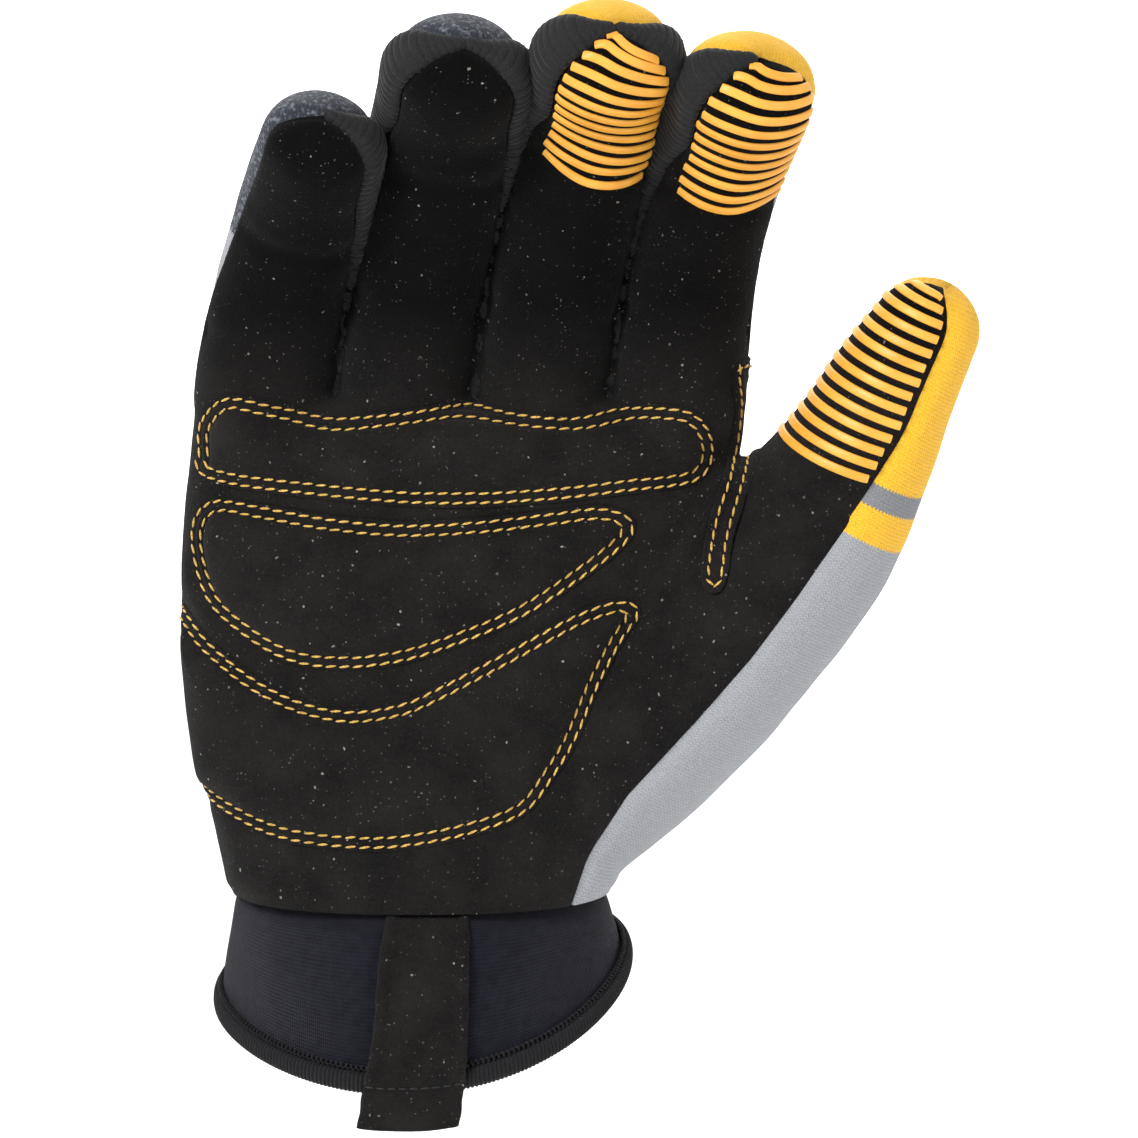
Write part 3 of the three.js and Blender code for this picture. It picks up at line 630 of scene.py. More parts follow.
def seam_dip(distance):
    return -SEAM_DIP * np.exp(-((np.maximum(distance, 0) / SEAM_REACH) ** 2))


def cloth_piece(name, field, distance, rise, material, data=None):
    """A piece cut from the skin by the field, raised by rise along its normals, with a wall."""
    columns = np.column_stack([distance, rise, skin_normals] + ([] if data is None else [data]))
    at, faces, values = cut(skin_at, skin_faces, field, columns)
    at = at + unit(values[:, 2:5]) * (values[:, 1] + seam_dip(values[:, 0]))[:, None]
    piece = made_of(material, name, at, faces)
    if data is not None:
        for k, label in enumerate(("from_end", "part", "cloth_u", "cloth_v")):
            note_on(piece.data, label, values[:, 5 + k])
    give_wall(piece, CLOTH)
    return piece, at, faces


# Where the three padded places lie, as outlines of their outer row of stitches
UPPER_PAD = [
    (-38, 98.3), (-37.5, 103.9), (-32.5, 108.7), (-23.4, 107.3), (-14, 105.2), (-1.7, 106.3), (8.9, 107.3),
    (19.4, 106.1), (29.6, 105.4), (40.8, 107.1), (49.6, 106.3), (53.3, 100.6), (50.9, 94.4), (37.7, 92.9),
    (21.5, 91.5), (3.3, 91.1), (-16.9, 92.4), (-36.5, 94.4),
]
MIDDLE_PAD = [
    (-39.2, 80.9), (-38.8, 86.7), (-34.9, 90.2), (-26.9, 89.7), (-14.1, 87.9), (-1.8, 87), (12, 87.6),
    (25.5, 89), (33.5, 89.7), (38.7, 87.7), (38.1, 84), (30.3, 77.9), (19.3, 70.9), (5.1, 65.1),
    (-4.6, 62.6), (-13.9, 61.9), (-22.3, 63.1), (-30.3, 67.3), (-36.4, 72.7),
]
HEEL_PAD = [
    (-43, 69.8), (-36.2, 64.4), (-28.6, 59), (-19.8, 55.2), (-10.9, 53.7), (-2, 55), (5.1, 58.1),
    (17.4, 64.6), (29.6, 70.9), (37, 72.9), (40.2, 70.9), (36.9, 65.5), (32.8, 57.5), (29.1, 48.8),
    (25.1, 42), (20, 35.8), (10.3, 32.3), (-2.7, 30), (-14.7, 30), (-26.1, 31.4), (-37, 35.3), (-42.5, 39),
    (-44.5, 55),
]


def smooth_outline(points, steps):
    """A closed smooth line through the points, with steps points on it."""
    points = np.asarray(points, float)
    around = np.arange(steps) / steps * len(points)
    i = around.astype(int)
    return between(*(points[(i + k) % len(points)] for k in (-1, 0, 1, 2)), (around - i)[:, None])


pads = {name: smooth_outline(outline, 160) for name, outline in
        (("upper_palm_pad", UPPER_PAD), ("middle_palm_pad", MIDDLE_PAD), ("heel_palm_pad", HEEL_PAD))}
PAD_EDGE = 0.7  # the padded piece ends this far outside its outer stitches
PAD_BACK = -5.0  # and goes no further round the side of the hand than here


def pad_field(name, at):
    return soft_min(inside(pads[name], at[:, 0], at[:, 2]) + PAD_EDGE, PAD_BACK - at[:, 1], 0.8)


palm_rise = slow + bend_fold + sum(fold(skin_at, *line) for line in PALM_FOLDS)
under_pads = np.zeros(len(skin_at))
for name in pads:
    depth_in = pad_field(name, skin_at)
    beside = np.exp(-((np.maximum(-depth_in, 0) / 1.6) ** 2)) * (skin_at[:, 1] < PAD_BACK + 1)
    pressed = np.where(depth_in > 0, -0.45 - np.minimum(depth_in, 1.0), -0.45 * beside)
    under_pads = np.minimum(under_pads, pressed)
palm, palm_at, palm_faces = cloth_piece(
    "palm", place.suede, suede_seam, palm_rise * smoothstep(0, 4, suede_seam) + under_pads, black_suede
)
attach(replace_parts(palm, "palm_panel"), "root")


# The knit of the back: a fine weft knit with its rows of small v-shaped stitches, grey on the
# hand, yellow over the ends of the thumb, the index and the middle finger, and navy over the
# other two. The colours change in bands along each finger, at its rows of stitches.
def attribute(tree, name):
    return node(tree, "ShaderNodeAttribute", attribute_name=name).outputs["Fac"]


LAST_BAND = 60.0  # every band of colour ends nearer to the finger's end than this


def banded(tree, distance, bands, rest):
    """The colours of (limit in millimetres, colour) bands in turn, then the rest's colour."""
    ramp = node(tree, "ShaderNodeValToRGB", {"Fac": combined(tree, "DIVIDE", distance, LAST_BAND)})
    ramp.color_ramp.interpolation = "CONSTANT"
    stops = ramp.color_ramp.elements
    stops.remove(stops[1])
    stops[0].position, stops[0].color = 0.0, srgb(bands[0][1])
    for (limit, _), (_, colour) in zip(bands, [*bands[1:], (0, rest)]):
        stops.new(limit / LAST_BAND).color = srgb(colour)
    return ramp.outputs["Color"]


def knit_height(tree, across, along, wale, course):
    """A v-stitch relief from 0 to 1, and the fold of each stitch from its middle to its edge."""
    turn = combined(tree, "FRACT", combined(tree, "DIVIDE", across, wale))
    fold = combined(tree, "MULTIPLY", combined(tree, "ABSOLUTE", combined(tree, "SUBTRACT", turn, 0.5)), 2.0)
    row = combined(tree, "MULTIPLY_ADD", fold, 0.55, combined(tree, "DIVIDE", along, course))
    wave = combined(tree, "SINE", combined(tree, "MULTIPLY", row, 2 * math.pi))
    height = combined(tree, "MULTIPLY_ADD", wave, 0.5, 0.5)
    sunk = combined(tree, "MULTIPLY", combined(tree, "POWER", fold, 4.0), 0.7)
    return combined(tree, "MULTIPLY", height, combined(tree, "SUBTRACT", 1.0, sunk)), fold


GREY, YELLOW, NAVY, THUMB_GREY, FLECK = "#9fa1a6", "#f8bf36", "#282c37", "#85878b", "#7c828c"
COLD_REACH = 40.0


def finish_knit(name, colour_of, wale=0.8, course=0.62):
    material, tree, surface = new_material(
        name, Roughness=0.88, **{"Sheen Weight": 0.12, "Sheen Roughness": 0.5, "Specular IOR Level": 0.25}
    )
    height, fold = knit_height(tree, attribute(tree, "cloth_u"), attribute(tree, "cloth_v"), wale, course)
    colour, shaded_gap = colour_of(tree, fold)
    mottle = cloudy(tree, place_on(tree), 1800.0)
    # Painted shade: the colour goes over to its darker copy where the stitches' relief is low, with some
    # random mottle
    shade = spread(tree, combined(tree, "MULTIPLY_ADD", height, 0.8, mottle), 0.1, 1.0)
    dress(tree, surface, mixed(tree, shade, shaded_gap, colour), height, 0.7, 0.0003)
    return material


def glove_colours(tree, fold):
    reach = combined(tree, "MULTIPLY_ADD", fold, 0.45, attribute(tree, "from_end"))
    part = attribute(tree, "part")
    warm = banded(tree, reach, [(32.5, YELLOW), (36.3, NAVY), (40.0, YELLOW)], GREY)
    of_thumb = banded(tree, reach, [(40.2, YELLOW), (44.0, THUMB_GREY), (49.8, YELLOW)], GREY)
    cold = banded(tree, reach, [(COLD_REACH, NAVY)], GREY)
    flecks = cloudy(tree, place_on(tree), 1300.0)
    flecked = mixed(tree, spread(tree, flecks, 0.5, 0.75), cold, srgb(FLECK))
    cold = mixed(tree, combined(tree, "LESS_THAN", reach, COLD_REACH), cold, flecked)
    colour = mixed(tree, combined(tree, "GREATER_THAN", part, 1.5), cold, warm)
    colour = mixed(tree, combined(tree, "GREATER_THAN", part, 3.5), colour, of_thumb)
    # Painted shade: a darker copy of each colour, for the gaps between the stitches
    shaded_gap = node(tree, "ShaderNodeHueSaturation", {"Value": 0.62, "Saturation": 1.1, "Color": colour})
    return colour, shaded_gap.outputs[0]


finger_knit = finish_knit("fine knit in coloured bands", glove_colours)
knit_rise = slow * 0.8 + bend_fold * 0.3
cloth = np.column_stack([place.from_end, place.part, place.across, place.along])
back, _, _ = cloth_piece(
    "back", place.back_knit, back_knit_seam, knit_rise * smoothstep(0, 4, back_knit_seam), finger_knit, cloth
)
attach(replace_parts(back, "back_panel"), "root")


# The thumb's side of the knit: a second piece, joined to the back along the outer seam and to
# the palm along the thumb, down to the wrist.
cloth = np.column_stack([place.from_end, place.part, place.thumb_across, place.thumb_along])
thumb_back, _, _ = cloth_piece(
    "thumb_back", place.thumb_knit, thumb_knit_seam, knit_rise * smoothstep(0, 4, thumb_knit_seam),
    finger_knit, cloth
)
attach(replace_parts(thumb_back, "thumb_back_panel"), "root")


# The strips between the fingers: black elastic rib, its bold ribs running across, up one finger,
# through the crotch and down the next. Their edges go under the suede and the knit.
RIB_PITCH, RIB_HEIGHT = 1.45, 0.5
STRIP_COLUMNS, STRIP_STEP = 13, 0.28
TUCK = 3  # degrees that the strip goes under the suede and the knit
CROTCH_REACH = 6.0  # how far each finger's direction still tells on the way through the crotch
skin_tree = tree_of(skin_at, skin_faces)


def on_skin(points):
    at, normals = np.empty_like(points), np.empty_like(points)
    for k, point in enumerate(points):
        hit, _, face, _ = skin_tree.find_nearest(Vector(point))
        at[k] = hit
        normals[k] = skin_normals[list(skin_faces[face])].mean(0)
    return at, unit(normals)


def outward(limb, s, angle):
    """Where rays from a limb's axis, towards these stations and angles, leave the skin."""
    target = limb.points(s, angle)
    centre = limb.frames(np.broadcast_to(s, len(target)))[0]
    places = np.empty_like(target)
    for k, (start, end) in enumerate(zip(centre, target)):
        hit = skin_tree.ray_cast(Vector(start), Vector(end - start).normalized(), 40)[0]
        places[k] = end if hit is None else hit
    return places


def strip_rows(name, side):
    """Rows of points across a strip, from the finger's tip down to its foot, fanned at the tip."""
    limb, seams = fingers[name], LOBES[name]
    k = 0 if side < 0 else 1
    stations = np.linspace(0.28, ARCH_START, 300)[:-1]
    turn = np.linspace(0, 0.97, 200) * math.pi / 2
    lobe = wider_at_foot(seams["suede"][k], stations)

    def edge(straight, end, top, extra):
        power = 2 / seams["square"]
        arch = ARCH_START + (top - ARCH_START) * np.sin(turn) ** power
        angles = np.concatenate([straight, end * np.cos(turn) ** power])
        return np.concatenate([stations, arch]), angles + extra

    inner_s, inner = edge(lobe, seams["suede"][k], seams["top"], -TUCK)
    outer_s, outer = edge(np.full(len(stations), seams["knit"][k]), seams["knit"][k], seams["knit_top"], TUCK)
    share = np.linspace(0, 1, STRIP_COLUMNS)[:, None]
    s, angle = inner_s + (outer_s - inner_s) * share, side * (inner + (outer - inner) * share)
    along = lengths_along(limb.points(s[STRIP_COLUMNS // 2], angle[STRIP_COLUMNS // 2]))
    even = np.arange(along[-1], 0, -STRIP_STEP)
    evened = lambda values: np.interp(even, along, values)
    return np.stack([limb.points(evened(s_there), evened(turned)) for s_there, turned in zip(s, angle)], 1)


def strip(name, left, right):
    down, up = strip_rows(left, 1), strip_rows(right, -1)[::-1]
    a, d = down[-1], up[0]
    b, c = a + unit(a - down[-4]) * CROTCH_REACH, d + unit(d - up[3]) * CROTCH_REACH
    t = np.linspace(0, 1, 50)[1:-1, None, None]
    bridge = (1 - t) ** 3 * a + 3 * (1 - t) ** 2 * t * b + 3 * (1 - t) * t**2 * c + t**3 * d
    rows = np.concatenate([down, bridge, up])
    count, wide = rows.shape[:2]
    at, normals = on_skin(rows.reshape(-1, 3))
    edges = edges_of([tuple(f) for f in grid_faces(count, wide).tolist()])
    at = averaged(at, edges, 0.5, 6)
    normals = unit(averaged(normals, edges, 0.5, 10))
    rows = at.reshape(count, wide, 3)
    ribs = np.abs(np.sin(math.pi * lengths_along(rows[:, wide // 2]) / RIB_PITCH)) ** 0.8 * RIB_HEIGHT
    share = np.linspace(0, 1, wide)
    edge = np.minimum(share, 1 - share) * 2
    rise = ribs[:, None] * smoothstep(0.0, 0.25, edge) - 0.75 + 0.75 * smoothstep(0, 0.5, edge)
    # Where the strip is narrow it lies deeper, out of sight
    wide_there = np.linalg.norm(rows[:, 0] - rows[:, -1], axis=1)
    rise -= 1.1 * (1 - smoothstep(3.0, 7.0, wide_there))[:, None]
    lift = rise.ravel() + ripple(at, 17.0, 1) * 0.45 - 0.25
    piece = made_of(rib_knit, name, at + normals * lift[:, None], grid_faces(count, wide))
    give_wall(piece, CLOTH)
    return piece


def finish_rib(name, dark, light):
    material, tree, surface = new_material(
        name, Roughness=0.8, **{"Sheen Weight": 0.08, "Sheen Roughness": 0.45, "Specular IOR Level": 0.15}
    )
    yarn = cloudy(tree, place_on(tree), 2600.0)
    dress(tree, surface, mixed(tree, yarn, srgb(dark), srgb(light)), yarn, 0.6, 0.0002)
    return material


rib_knit = finish_rib("black elastic rib", "#0c0c0c", "#29292b")
for left, right in (("little", "ring"), ("ring", "middle"), ("middle", "index")):
    piece = strip(f"strip_{left}_{right}", left, right)
    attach(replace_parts(piece, f"fourchette_{left}_{right}"), "root")


# The padded places of the palm: suede over soft foam, quilted down along a double row of
# stitches all round, so that it sinks at the rows, ridges between them and swells inside.
PUFF = 2.4
ROW_GAP = 1.65
FOAM_AND_CLOTH = 1.4


def finer(at, faces):
    """Every face split at its middle and the middles of its edges."""
    points, middles, split = list(at), {}, []
    for face in faces:
        centre = len(points)
        points.append(sum(at[i] for i in face) / len(face))
        halves = []
        for a, b in zip(face, face[1:] + face[:1]):
            key = (a, b) if a < b else (b, a)
            if key not in middles:
                middles[key] = len(points)
                points.append((at[a] + at[b]) / 2)
            halves.append(middles[key])
        for k, corner in enumerate(face):
            split.append((corner, halves[k], centre, halves[k - 1]))
    return np.array(points), split


def patch_of(field, rounds, normal_rounds):
    """The skin inside a field's zero line in finer faces, softened, with soft normals."""
    at, faces, _ = cut(skin_at, skin_faces, field, skin_normals)
    at, faces = finer(at, faces)
    edges = edges_of(faces)
    at = averaged(at, edges, 0.5, rounds)
    return at, faces, unit(averaged(normals_of(at, faces), edges, 0.6, normal_rounds))


def pad_height(inset):
    """Height above the skin, by the distance in from the outer row of stitches."""
    groove = lambda place, deep: -deep * np.exp(-(((inset - place) / 0.5) ** 2))
    inner = np.maximum(inset - ROW_GAP, 0)
    swell = PUFF * (1 - np.exp(-inner / 2.6))
    ridge = 0.25 * np.exp(-(((inset - ROW_GAP / 2) / 0.45) ** 2))
    return -0.2 + groove(0, 0.3) + groove(ROW_GAP, 0.3) + ridge + swell


pad_trees = {}
for name in pads:
    at, faces, normals = patch_of(pad_field(name, skin_at), 2, 12)
    inset = pad_field(name, at) - PAD_EDGE
    wrinkle = ripple(at, 9.0, 5) * 0.35 * smoothstep(1.5, 5, inset) + ripple(at, 17.0, 1) * 0.55
    at = at + normals * (pad_height(inset) + wrinkle)[:, None]
    pad_trees[name] = tree_of(at, faces)
    piece = made_of(black_suede, name, at, faces)
    give_wall(piece, FOAM_AND_CLOTH, "foam and cloth")
    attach(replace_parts(piece, name), "root")


# The patch of suede over the web between the thumb and the index finger, sewn down flat.
WEB_PATCH = [
    (57.4, 114), (57.8, 106), (56.5, 97), (53.5, 88), (51.9, 80), (52.2, 76.5), (54.0, 75.6), (55.6, 78),
    (56.9, 85), (59.5, 93), (61.9, 100.5), (62.3, 107.8), (61.2, 114),
]
WEB_CLOTH = 0.9
web_outline = smooth_outline(WEB_PATCH, 120)


def web_field(at):
    return soft_min(inside(web_outline, at[:, 0], at[:, 2]) + 0.4, np.where(at[:, 1] < 2, 3.0, -3.0), 0.5)


at, faces, normals = patch_of(soft_min(web_field(skin_at), suede_seam, 0.5), 1, 10)
inset = web_field(at)
sewn = lambda place: -0.28 * np.exp(-(((inset - place) / 0.45) ** 2))
lift = 0.55 * smoothstep(-0.1, 0.5, inset) + sewn(0.9) + sewn(2.3) + ripple(at, 17.0, 1) * 0.55
at = at + normals * (lift + 0.1)[:, None]
web_tree = tree_of(at, faces)
piece = made_of(black_suede, "web_patch", at, faces)
give_wall(piece, WEB_CLOTH)
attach(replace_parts(piece, "thumb_web_patch"), "root")


# The stitches: thick straw-yellow thread, one short slanting stitch after another like a twisted
# rope, in two rows round each padded place and in one round the web patch.
def finish_thread(name, dark, light):
    material, tree, surface = new_material(
        name, Roughness=0.55, **{"Sheen Weight": 0.2, "Sheen Roughness": 0.4, "Specular IOR Level": 0.4}
    )
    strands = cloudy(tree, place_on(tree), 3200.0)
    colour = mixed(tree, spread(tree, strands, 0.35, 0.65), srgb(dark), srgb(light))
    dress(tree, surface, colour, strands, 0.5, 0.0001)
    return material


straw_thread = finish_thread("straw-yellow sewing thread", "#9a742c", "#dcb65c")


def new_tree(name, inputs):
    tree = bpy.data.node_groups.new(name, "GeometryNodeTree")
    tree.interface.new_socket("Geometry", in_out="INPUT", socket_type="NodeSocketGeometry")
    ids = {}
    for label, kind in inputs:
        ids[label] = tree.interface.new_socket(label, in_out="INPUT", socket_type=kind).identifier
    tree.interface.new_socket("Geometry", in_out="OUTPUT", socket_type="NodeSocketGeometry")
    return tree, tree.nodes.new("NodeGroupInput"), ids


def named(tree, name, kind="FLOAT_VECTOR"):
    return node(tree, "GeometryNodeInputNamedAttribute", {"Name": name}, data_type=kind).outputs[0]


stitch_tree, given, stitch_ids = new_tree("row of stitches", [
    ("Pitch", "NodeSocketFloat"), ("Length", "NodeSocketFloat"), ("Width", "NodeSocketFloat"),
    ("Slant", "NodeSocketFloat"), ("Thread", "NodeSocketMaterial"),
])
lines = node(stitch_tree, "GeometryNodeMeshToCurve", {"Mesh": given.outputs["Geometry"]})
even = node(stitch_tree, "GeometryNodeResampleCurve", {
    "Curve": lines.outputs[0], "Length": given.outputs["Pitch"],
}, mode="LENGTH")
bead = node(stitch_tree, "GeometryNodeMeshUVSphere", {"Segments": 8, "Rings": 6, "Radius": 0.5})
size = node(stitch_tree, "ShaderNodeCombineXYZ", {
    "X": given.outputs["Length"], "Y": given.outputs["Width"], "Z": given.outputs["Width"],
})
along = node(stitch_tree, "FunctionNodeAlignRotationToVector", {
    "Vector": node(stitch_tree, "GeometryNodeInputTangent").outputs[0],
}, axis="X")
upright = node(stitch_tree, "FunctionNodeAlignRotationToVector", {
    "Rotation": along.outputs[0], "Vector": named(stitch_tree, "up"),
}, axis="Z", pivot_axis="X")
lean = node(stitch_tree, "ShaderNodeCombineXYZ", {"Z": given.outputs["Slant"]})
slanted = node(stitch_tree, "FunctionNodeRotateRotation", {
    "Rotation": upright.outputs[0],
    "Rotate By": node(stitch_tree, "FunctionNodeEulerToRotation", {"Euler": lean.outputs[0]}).outputs[0],
}, rotation_space="LOCAL")
placed = node(stitch_tree, "GeometryNodeInstanceOnPoints", {
    "Points": even.outputs[0], "Instance": bead.outputs[0],
    "Rotation": slanted.outputs[0], "Scale": size.outputs[0],
})
real = node(stitch_tree, "GeometryNodeRealizeInstances", {"Geometry": placed.outputs[0]})
smooth = node(stitch_tree, "GeometryNodeSetShadeSmooth", {"Geometry": real.outputs[0]})
done = node(stitch_tree, "GeometryNodeSetMaterial", {
    "Geometry": smooth.outputs[0], "Material": given.outputs["Thread"],
})
node(stitch_tree, "NodeGroupOutput", {"Geometry": done.outputs[0]})


def grown(name, lines, tree, ids, values):
    """What a tree grows on lines of (places, ups) or (places, ups, tapers), as a plain mesh."""
    points, joins = [], []
    for places, *_ in lines:
        joins += [(len(points) + k, len(points) + k + 1) for k in range(len(places) - 1)]
        points += list(places)
    mesh = bpy.data.meshes.new(name)
    mesh.from_pydata((np.array(points) * MM).tolist(), joins, [])
    ups = np.concatenate([line[1] for line in lines])
    mesh.attributes.new("up", "FLOAT_VECTOR", "POINT").data.foreach_set("vector", ups.ravel())
    if len(lines[0]) > 2:
        note_on(mesh, "taper", np.concatenate([line[2] for line in lines]))
    piece = show(name, mesh)
    nodes = piece.modifiers.new("grown", "NODES")
    nodes.node_group = tree
    for label, value in values.items():
        nodes[ids[label]] = value
    return settled(piece)


IN_FRONT = -80.0
THREAD_RISE = 0.12


def edges_of_line(count):
    return np.array([(k, k + 1) for k in range(count - 1)])


def thread_lines(tree, outline):
    """Where a line in x and z falls on a surface, looked at from the front, with its normals."""
    runs, lines = [[]], []
    for x, z in outline:
        hit, normal, _, _ = tree.ray_cast(Vector((x, IN_FRONT, z)), Vector((0, 1, 0)))
        if hit is None:
            runs.append([])
        else:
            runs[-1].append((*hit, *(normal if normal.y < 0 else -normal)))
    for run in runs:
        if len(run) > 6:
            at, normals = np.hsplit(np.array(run), 2)
            normals = unit(averaged(normals, edges_of_line(len(run)), 0.5, 4))
            lines.append((at + normals * THREAD_RISE, normals))
    return lines


def offset_outline(outline, inset):
    """The outline moved in by inset, kept smooth."""
    ahead = np.roll(outline, -1, axis=0) - np.roll(outline, 1, axis=0)
    inward = unit(np.column_stack([-ahead[:, 1], ahead[:, 0]]))
    area = (outline[:, 0] * np.roll(outline[:, 1], -1) - np.roll(outline[:, 0], -1) * outline[:, 1]).sum()
    return outline + inward * inset * (1 if area > 0 else -1)


STITCH = {"Pitch": 2.4 * MM, "Length": 2.05 * MM, "Width": 0.46 * MM, "Slant": 0.16, "Thread": straw_thread}
WEB_STITCH = {**STITCH, "Pitch": 2.2 * MM, "Length": 2.1 * MM}
WEB_ROW = 0.9  # how far in from the patch's edge it is sewn
for name, outline in pads.items():
    outline = np.roll(smooth_outline(outline, 480), 120, axis=0)
    rows = []
    for inset in (0.0, ROW_GAP):
        ring = offset_outline(outline, inset)
        ring = np.vstack([ring, ring[:1]])
        rows += thread_lines(pad_trees[name], ring)
    piece = grown(name + "_stitches", rows, stitch_tree, stitch_ids, STITCH)
    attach(piece, "root")
rows = thread_lines(web_tree, offset_outline(smooth_outline(web_outline, 360), WEB_ROW))
piece = grown("web_patch_stitches", rows, stitch_tree, stitch_ids, WEB_STITCH)
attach(piece, "root")


# The grips: bars of amber silicone moulded across the suede of the thumb, the index and the
# middle finger, rounded on top and tapering out at the seams. "first" and "last" say how far
# down the suede those bars lie from the finger's very end: at the left seam, in the middle and
# at the right seam. The bars between them are spaced evenly.
silicone, tree, surface = new_material(
    "moulded amber silicone", Roughness=0.42, **{
        "Specular IOR Level": 0.4, "Subsurface Weight": 0.12, "Subsurface Radius": (0.6, 0.3, 0.1),
        "Subsurface Scale": 0.001,
    }
)
at = place_on(tree)
tone = mixed(tree, spread(tree, cloudy(tree, at, 160.0, 3.0), 0.3, 0.7), srgb("#dd9832"), srgb("#eaab44"))
dress(tree, surface, tone, cloudy(tree, at, 1500.0), 0.25, 0.0001)

sweep_tree, given, sweep_ids = new_tree("swept along a path", [
    ("Width", "NodeSocketFloat"), ("Height", "NodeSocketFloat"), ("Material", "NodeSocketMaterial"),
])
lines = node(sweep_tree, "GeometryNodeMeshToCurve", {"Mesh": given.outputs["Geometry"]})
turned = node(sweep_tree, "GeometryNodeSetCurveNormal", {
    "Curve": lines.outputs[0], "Normal": named(sweep_tree, "up"),
}, mode="FREE")
sized = node(sweep_tree, "GeometryNodeSetCurveRadius", {
    "Curve": turned.outputs[0], "Radius": named(sweep_tree, "taper", "FLOAT"),
})
section = node(sweep_tree, "GeometryNodeCurvePrimitiveQuadrilateral", {
    "Width": given.outputs["Height"], "Height": given.outputs["Width"],
})
rounding = combined(sweep_tree, "MULTIPLY", given.outputs["Height"], 0.48)
soft = node(sweep_tree, "GeometryNodeFilletCurve", {"Curve": section.outputs[0], "Radius": rounding})
soft.mode = "POLY"
soft.inputs["Count"].default_value = 3
swept = node(sweep_tree, "GeometryNodeCurveToMesh", {
    "Curve": sized.outputs[0], "Profile Curve": soft.outputs[0], "Fill Caps": True,
})
smooth = node(sweep_tree, "GeometryNodeSetShadeSmooth", {"Geometry": swept.outputs[0]})
real = node(sweep_tree, "GeometryNodeRealizeInstances", {"Geometry": smooth.outputs[0]})
done = node(sweep_tree, "GeometryNodeSetMaterial", {
    "Geometry": real.outputs[0], "Material": given.outputs["Material"],
})
node(sweep_tree, "NodeGroupOutput", {"Geometry": done.outputs[0]})

BAR_WIDTH, BAR_HEIGHT, BAR_INSET, BAR_SINK = 1.6, 0.75, 0.9, 0.3
WIDEST_BAR = 84  # degrees to each side
GRIPS = {
    "thumb": {"bars": 14, "first": (7.6, 6.4, 6.4), "last": (43.5, 42.5, 41.5)},
    "index": {"bars": 12, "first": (4.0, 3.0, 10.0), "last": (36.5, 35.6, 37.0)},
    "middle": {"bars": 13, "first": (4.0, 2.5, 11.5), "last": (34.5, 36.0, 40.5)},
}
palm_tree = tree_of(palm_at, palm_faces)
palm_normals = normals_of(palm_at, palm_faces)


def is_outer(name, side):
    """Whether this side of a finger is an outer side of the hand."""
    return name in OUTER_SIDES and OUTER_SIDES[name][0] == side


def lobe_width(name, s, side):
    """Half width of the suede, in degrees, at each station of a finger's or the thumb's side."""
    rise = np.maximum(0, s - ARCH_START)
    if name == "thumb":
        share = np.minimum(1, rise / (THUMB_TOP - ARCH_START))
        return thumb_lobe(s, side) * np.sqrt(1 - share**2)
    seams = LOBES[name]
    tip = seams["suede"][0 if side < 0 else 1]
    full = outer_seam(name, s) if is_outer(name, side) else wider_at_foot(tip, s)
    share = np.minimum(1, rise / (seams["top"] - ARCH_START))
    return full * (1 - share ** seams["square"]) ** (1 / seams["square"])


def sweep(name, lines, width, height, material):
    """Rounded bars along lines of (places, ups, tapers)."""
    return grown(name, lines, sweep_tree, sweep_ids, {
        "Width": width * MM, "Height": height * MM, "Material": material,
    })


def bars_reach(name, side):
    """How far round the bars may go, in degrees: less than the suede where two fingers touch."""
    if name == "thumb" or is_outer(name, side):
        return WIDEST_BAR
    return LOBES[name]["suede"][0 if side < 0 else 1]


def bars(name):
    limb = thumb if name == "thumb" else fingers[name]
    grip = GRIPS[name]
    stations = np.linspace(1.995, 0.45, 160)
    u = np.linspace(-1, 1, 61)
    columns = []
    for share in u:
        side = -1 if share < 0 else 1
        width = np.minimum(lobe_width(name, stations, side), bars_reach(name, side))
        on_it = outward(limb, stations, share * width)
        columns.append((on_it, lengths_along(on_it)))
    lines = []
    for k in np.arange(grip["bars"]) / (grip["bars"] - 1):
        left, centre, right = ((1 - k) * a + k * b for a, b in zip(grip["first"], grip["last"]))
        distance = centre + (right - left) / 2 * u + ((right + left) / 2 - centre) * u**2
        near = np.array([
            [np.interp(d, length, on_it[:, axis]) for axis in range(3)]
            for d, (on_it, length) in zip(distance, columns)
        ])
        found = [palm_tree.find_nearest(Vector(p)) for p in near]
        places = np.array([hit for hit, _, _, _ in found])
        ups = np.array([palm_normals[list(palm_faces[face])].mean(0) for _, _, face, _ in found])
        along = lengths_along(places)
        inset = np.minimum(along, along[-1] - along) - BAR_INSET
        keep = inset > 0
        if keep.sum() < 8:
            continue
        taper = 0.35 + 0.65 * np.sqrt(np.clip(inset[keep] / 2.0, 0, 1))
        ups = unit(averaged(ups[keep], edges_of_line(keep.sum()), 0.5, 8))
        places = averaged(places[keep], edges_of_line(keep.sum()), 0.5, 6)
        lines.append((places + ups * (BAR_HEIGHT / 2 - BAR_SINK), ups, taper))
    return sweep(name + "_bars", lines, BAR_WIDTH, BAR_HEIGHT, silicone)


for name in GRIPS:
    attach(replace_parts(bars(name), name + "_grip"), "root")


# The cuff: a short tube of dense stretch knit, sewn inside the hem of the glove and flaring
# towards its mouth, which dips at the palm side.
CUFF_ROWS = np.array([
    [-3.0, 20.5, 32.7, 22.5, 0, 0], [-3.0, 17.6, 32.8, 22.6, 0, 0], [-3.0, 15.0, 34.2, 24.6, 1, 0],
    [-2.2, 9.5, 35.4, 27.0, 8, 1.5], [-1.0, 4.5, 36.4, 29.8, 16, 3], [0.0, 0.0, 37.2, 32.4, 22, 6],
])
CUFF_X = 1.0
CUFF_COLUMNS, CUFF_LEVELS = 256, 44
CUFF_CLOTH = 1.6
CUFF_LENGTH, CUFF_MM_PER_DEGREE = 22, 0.62


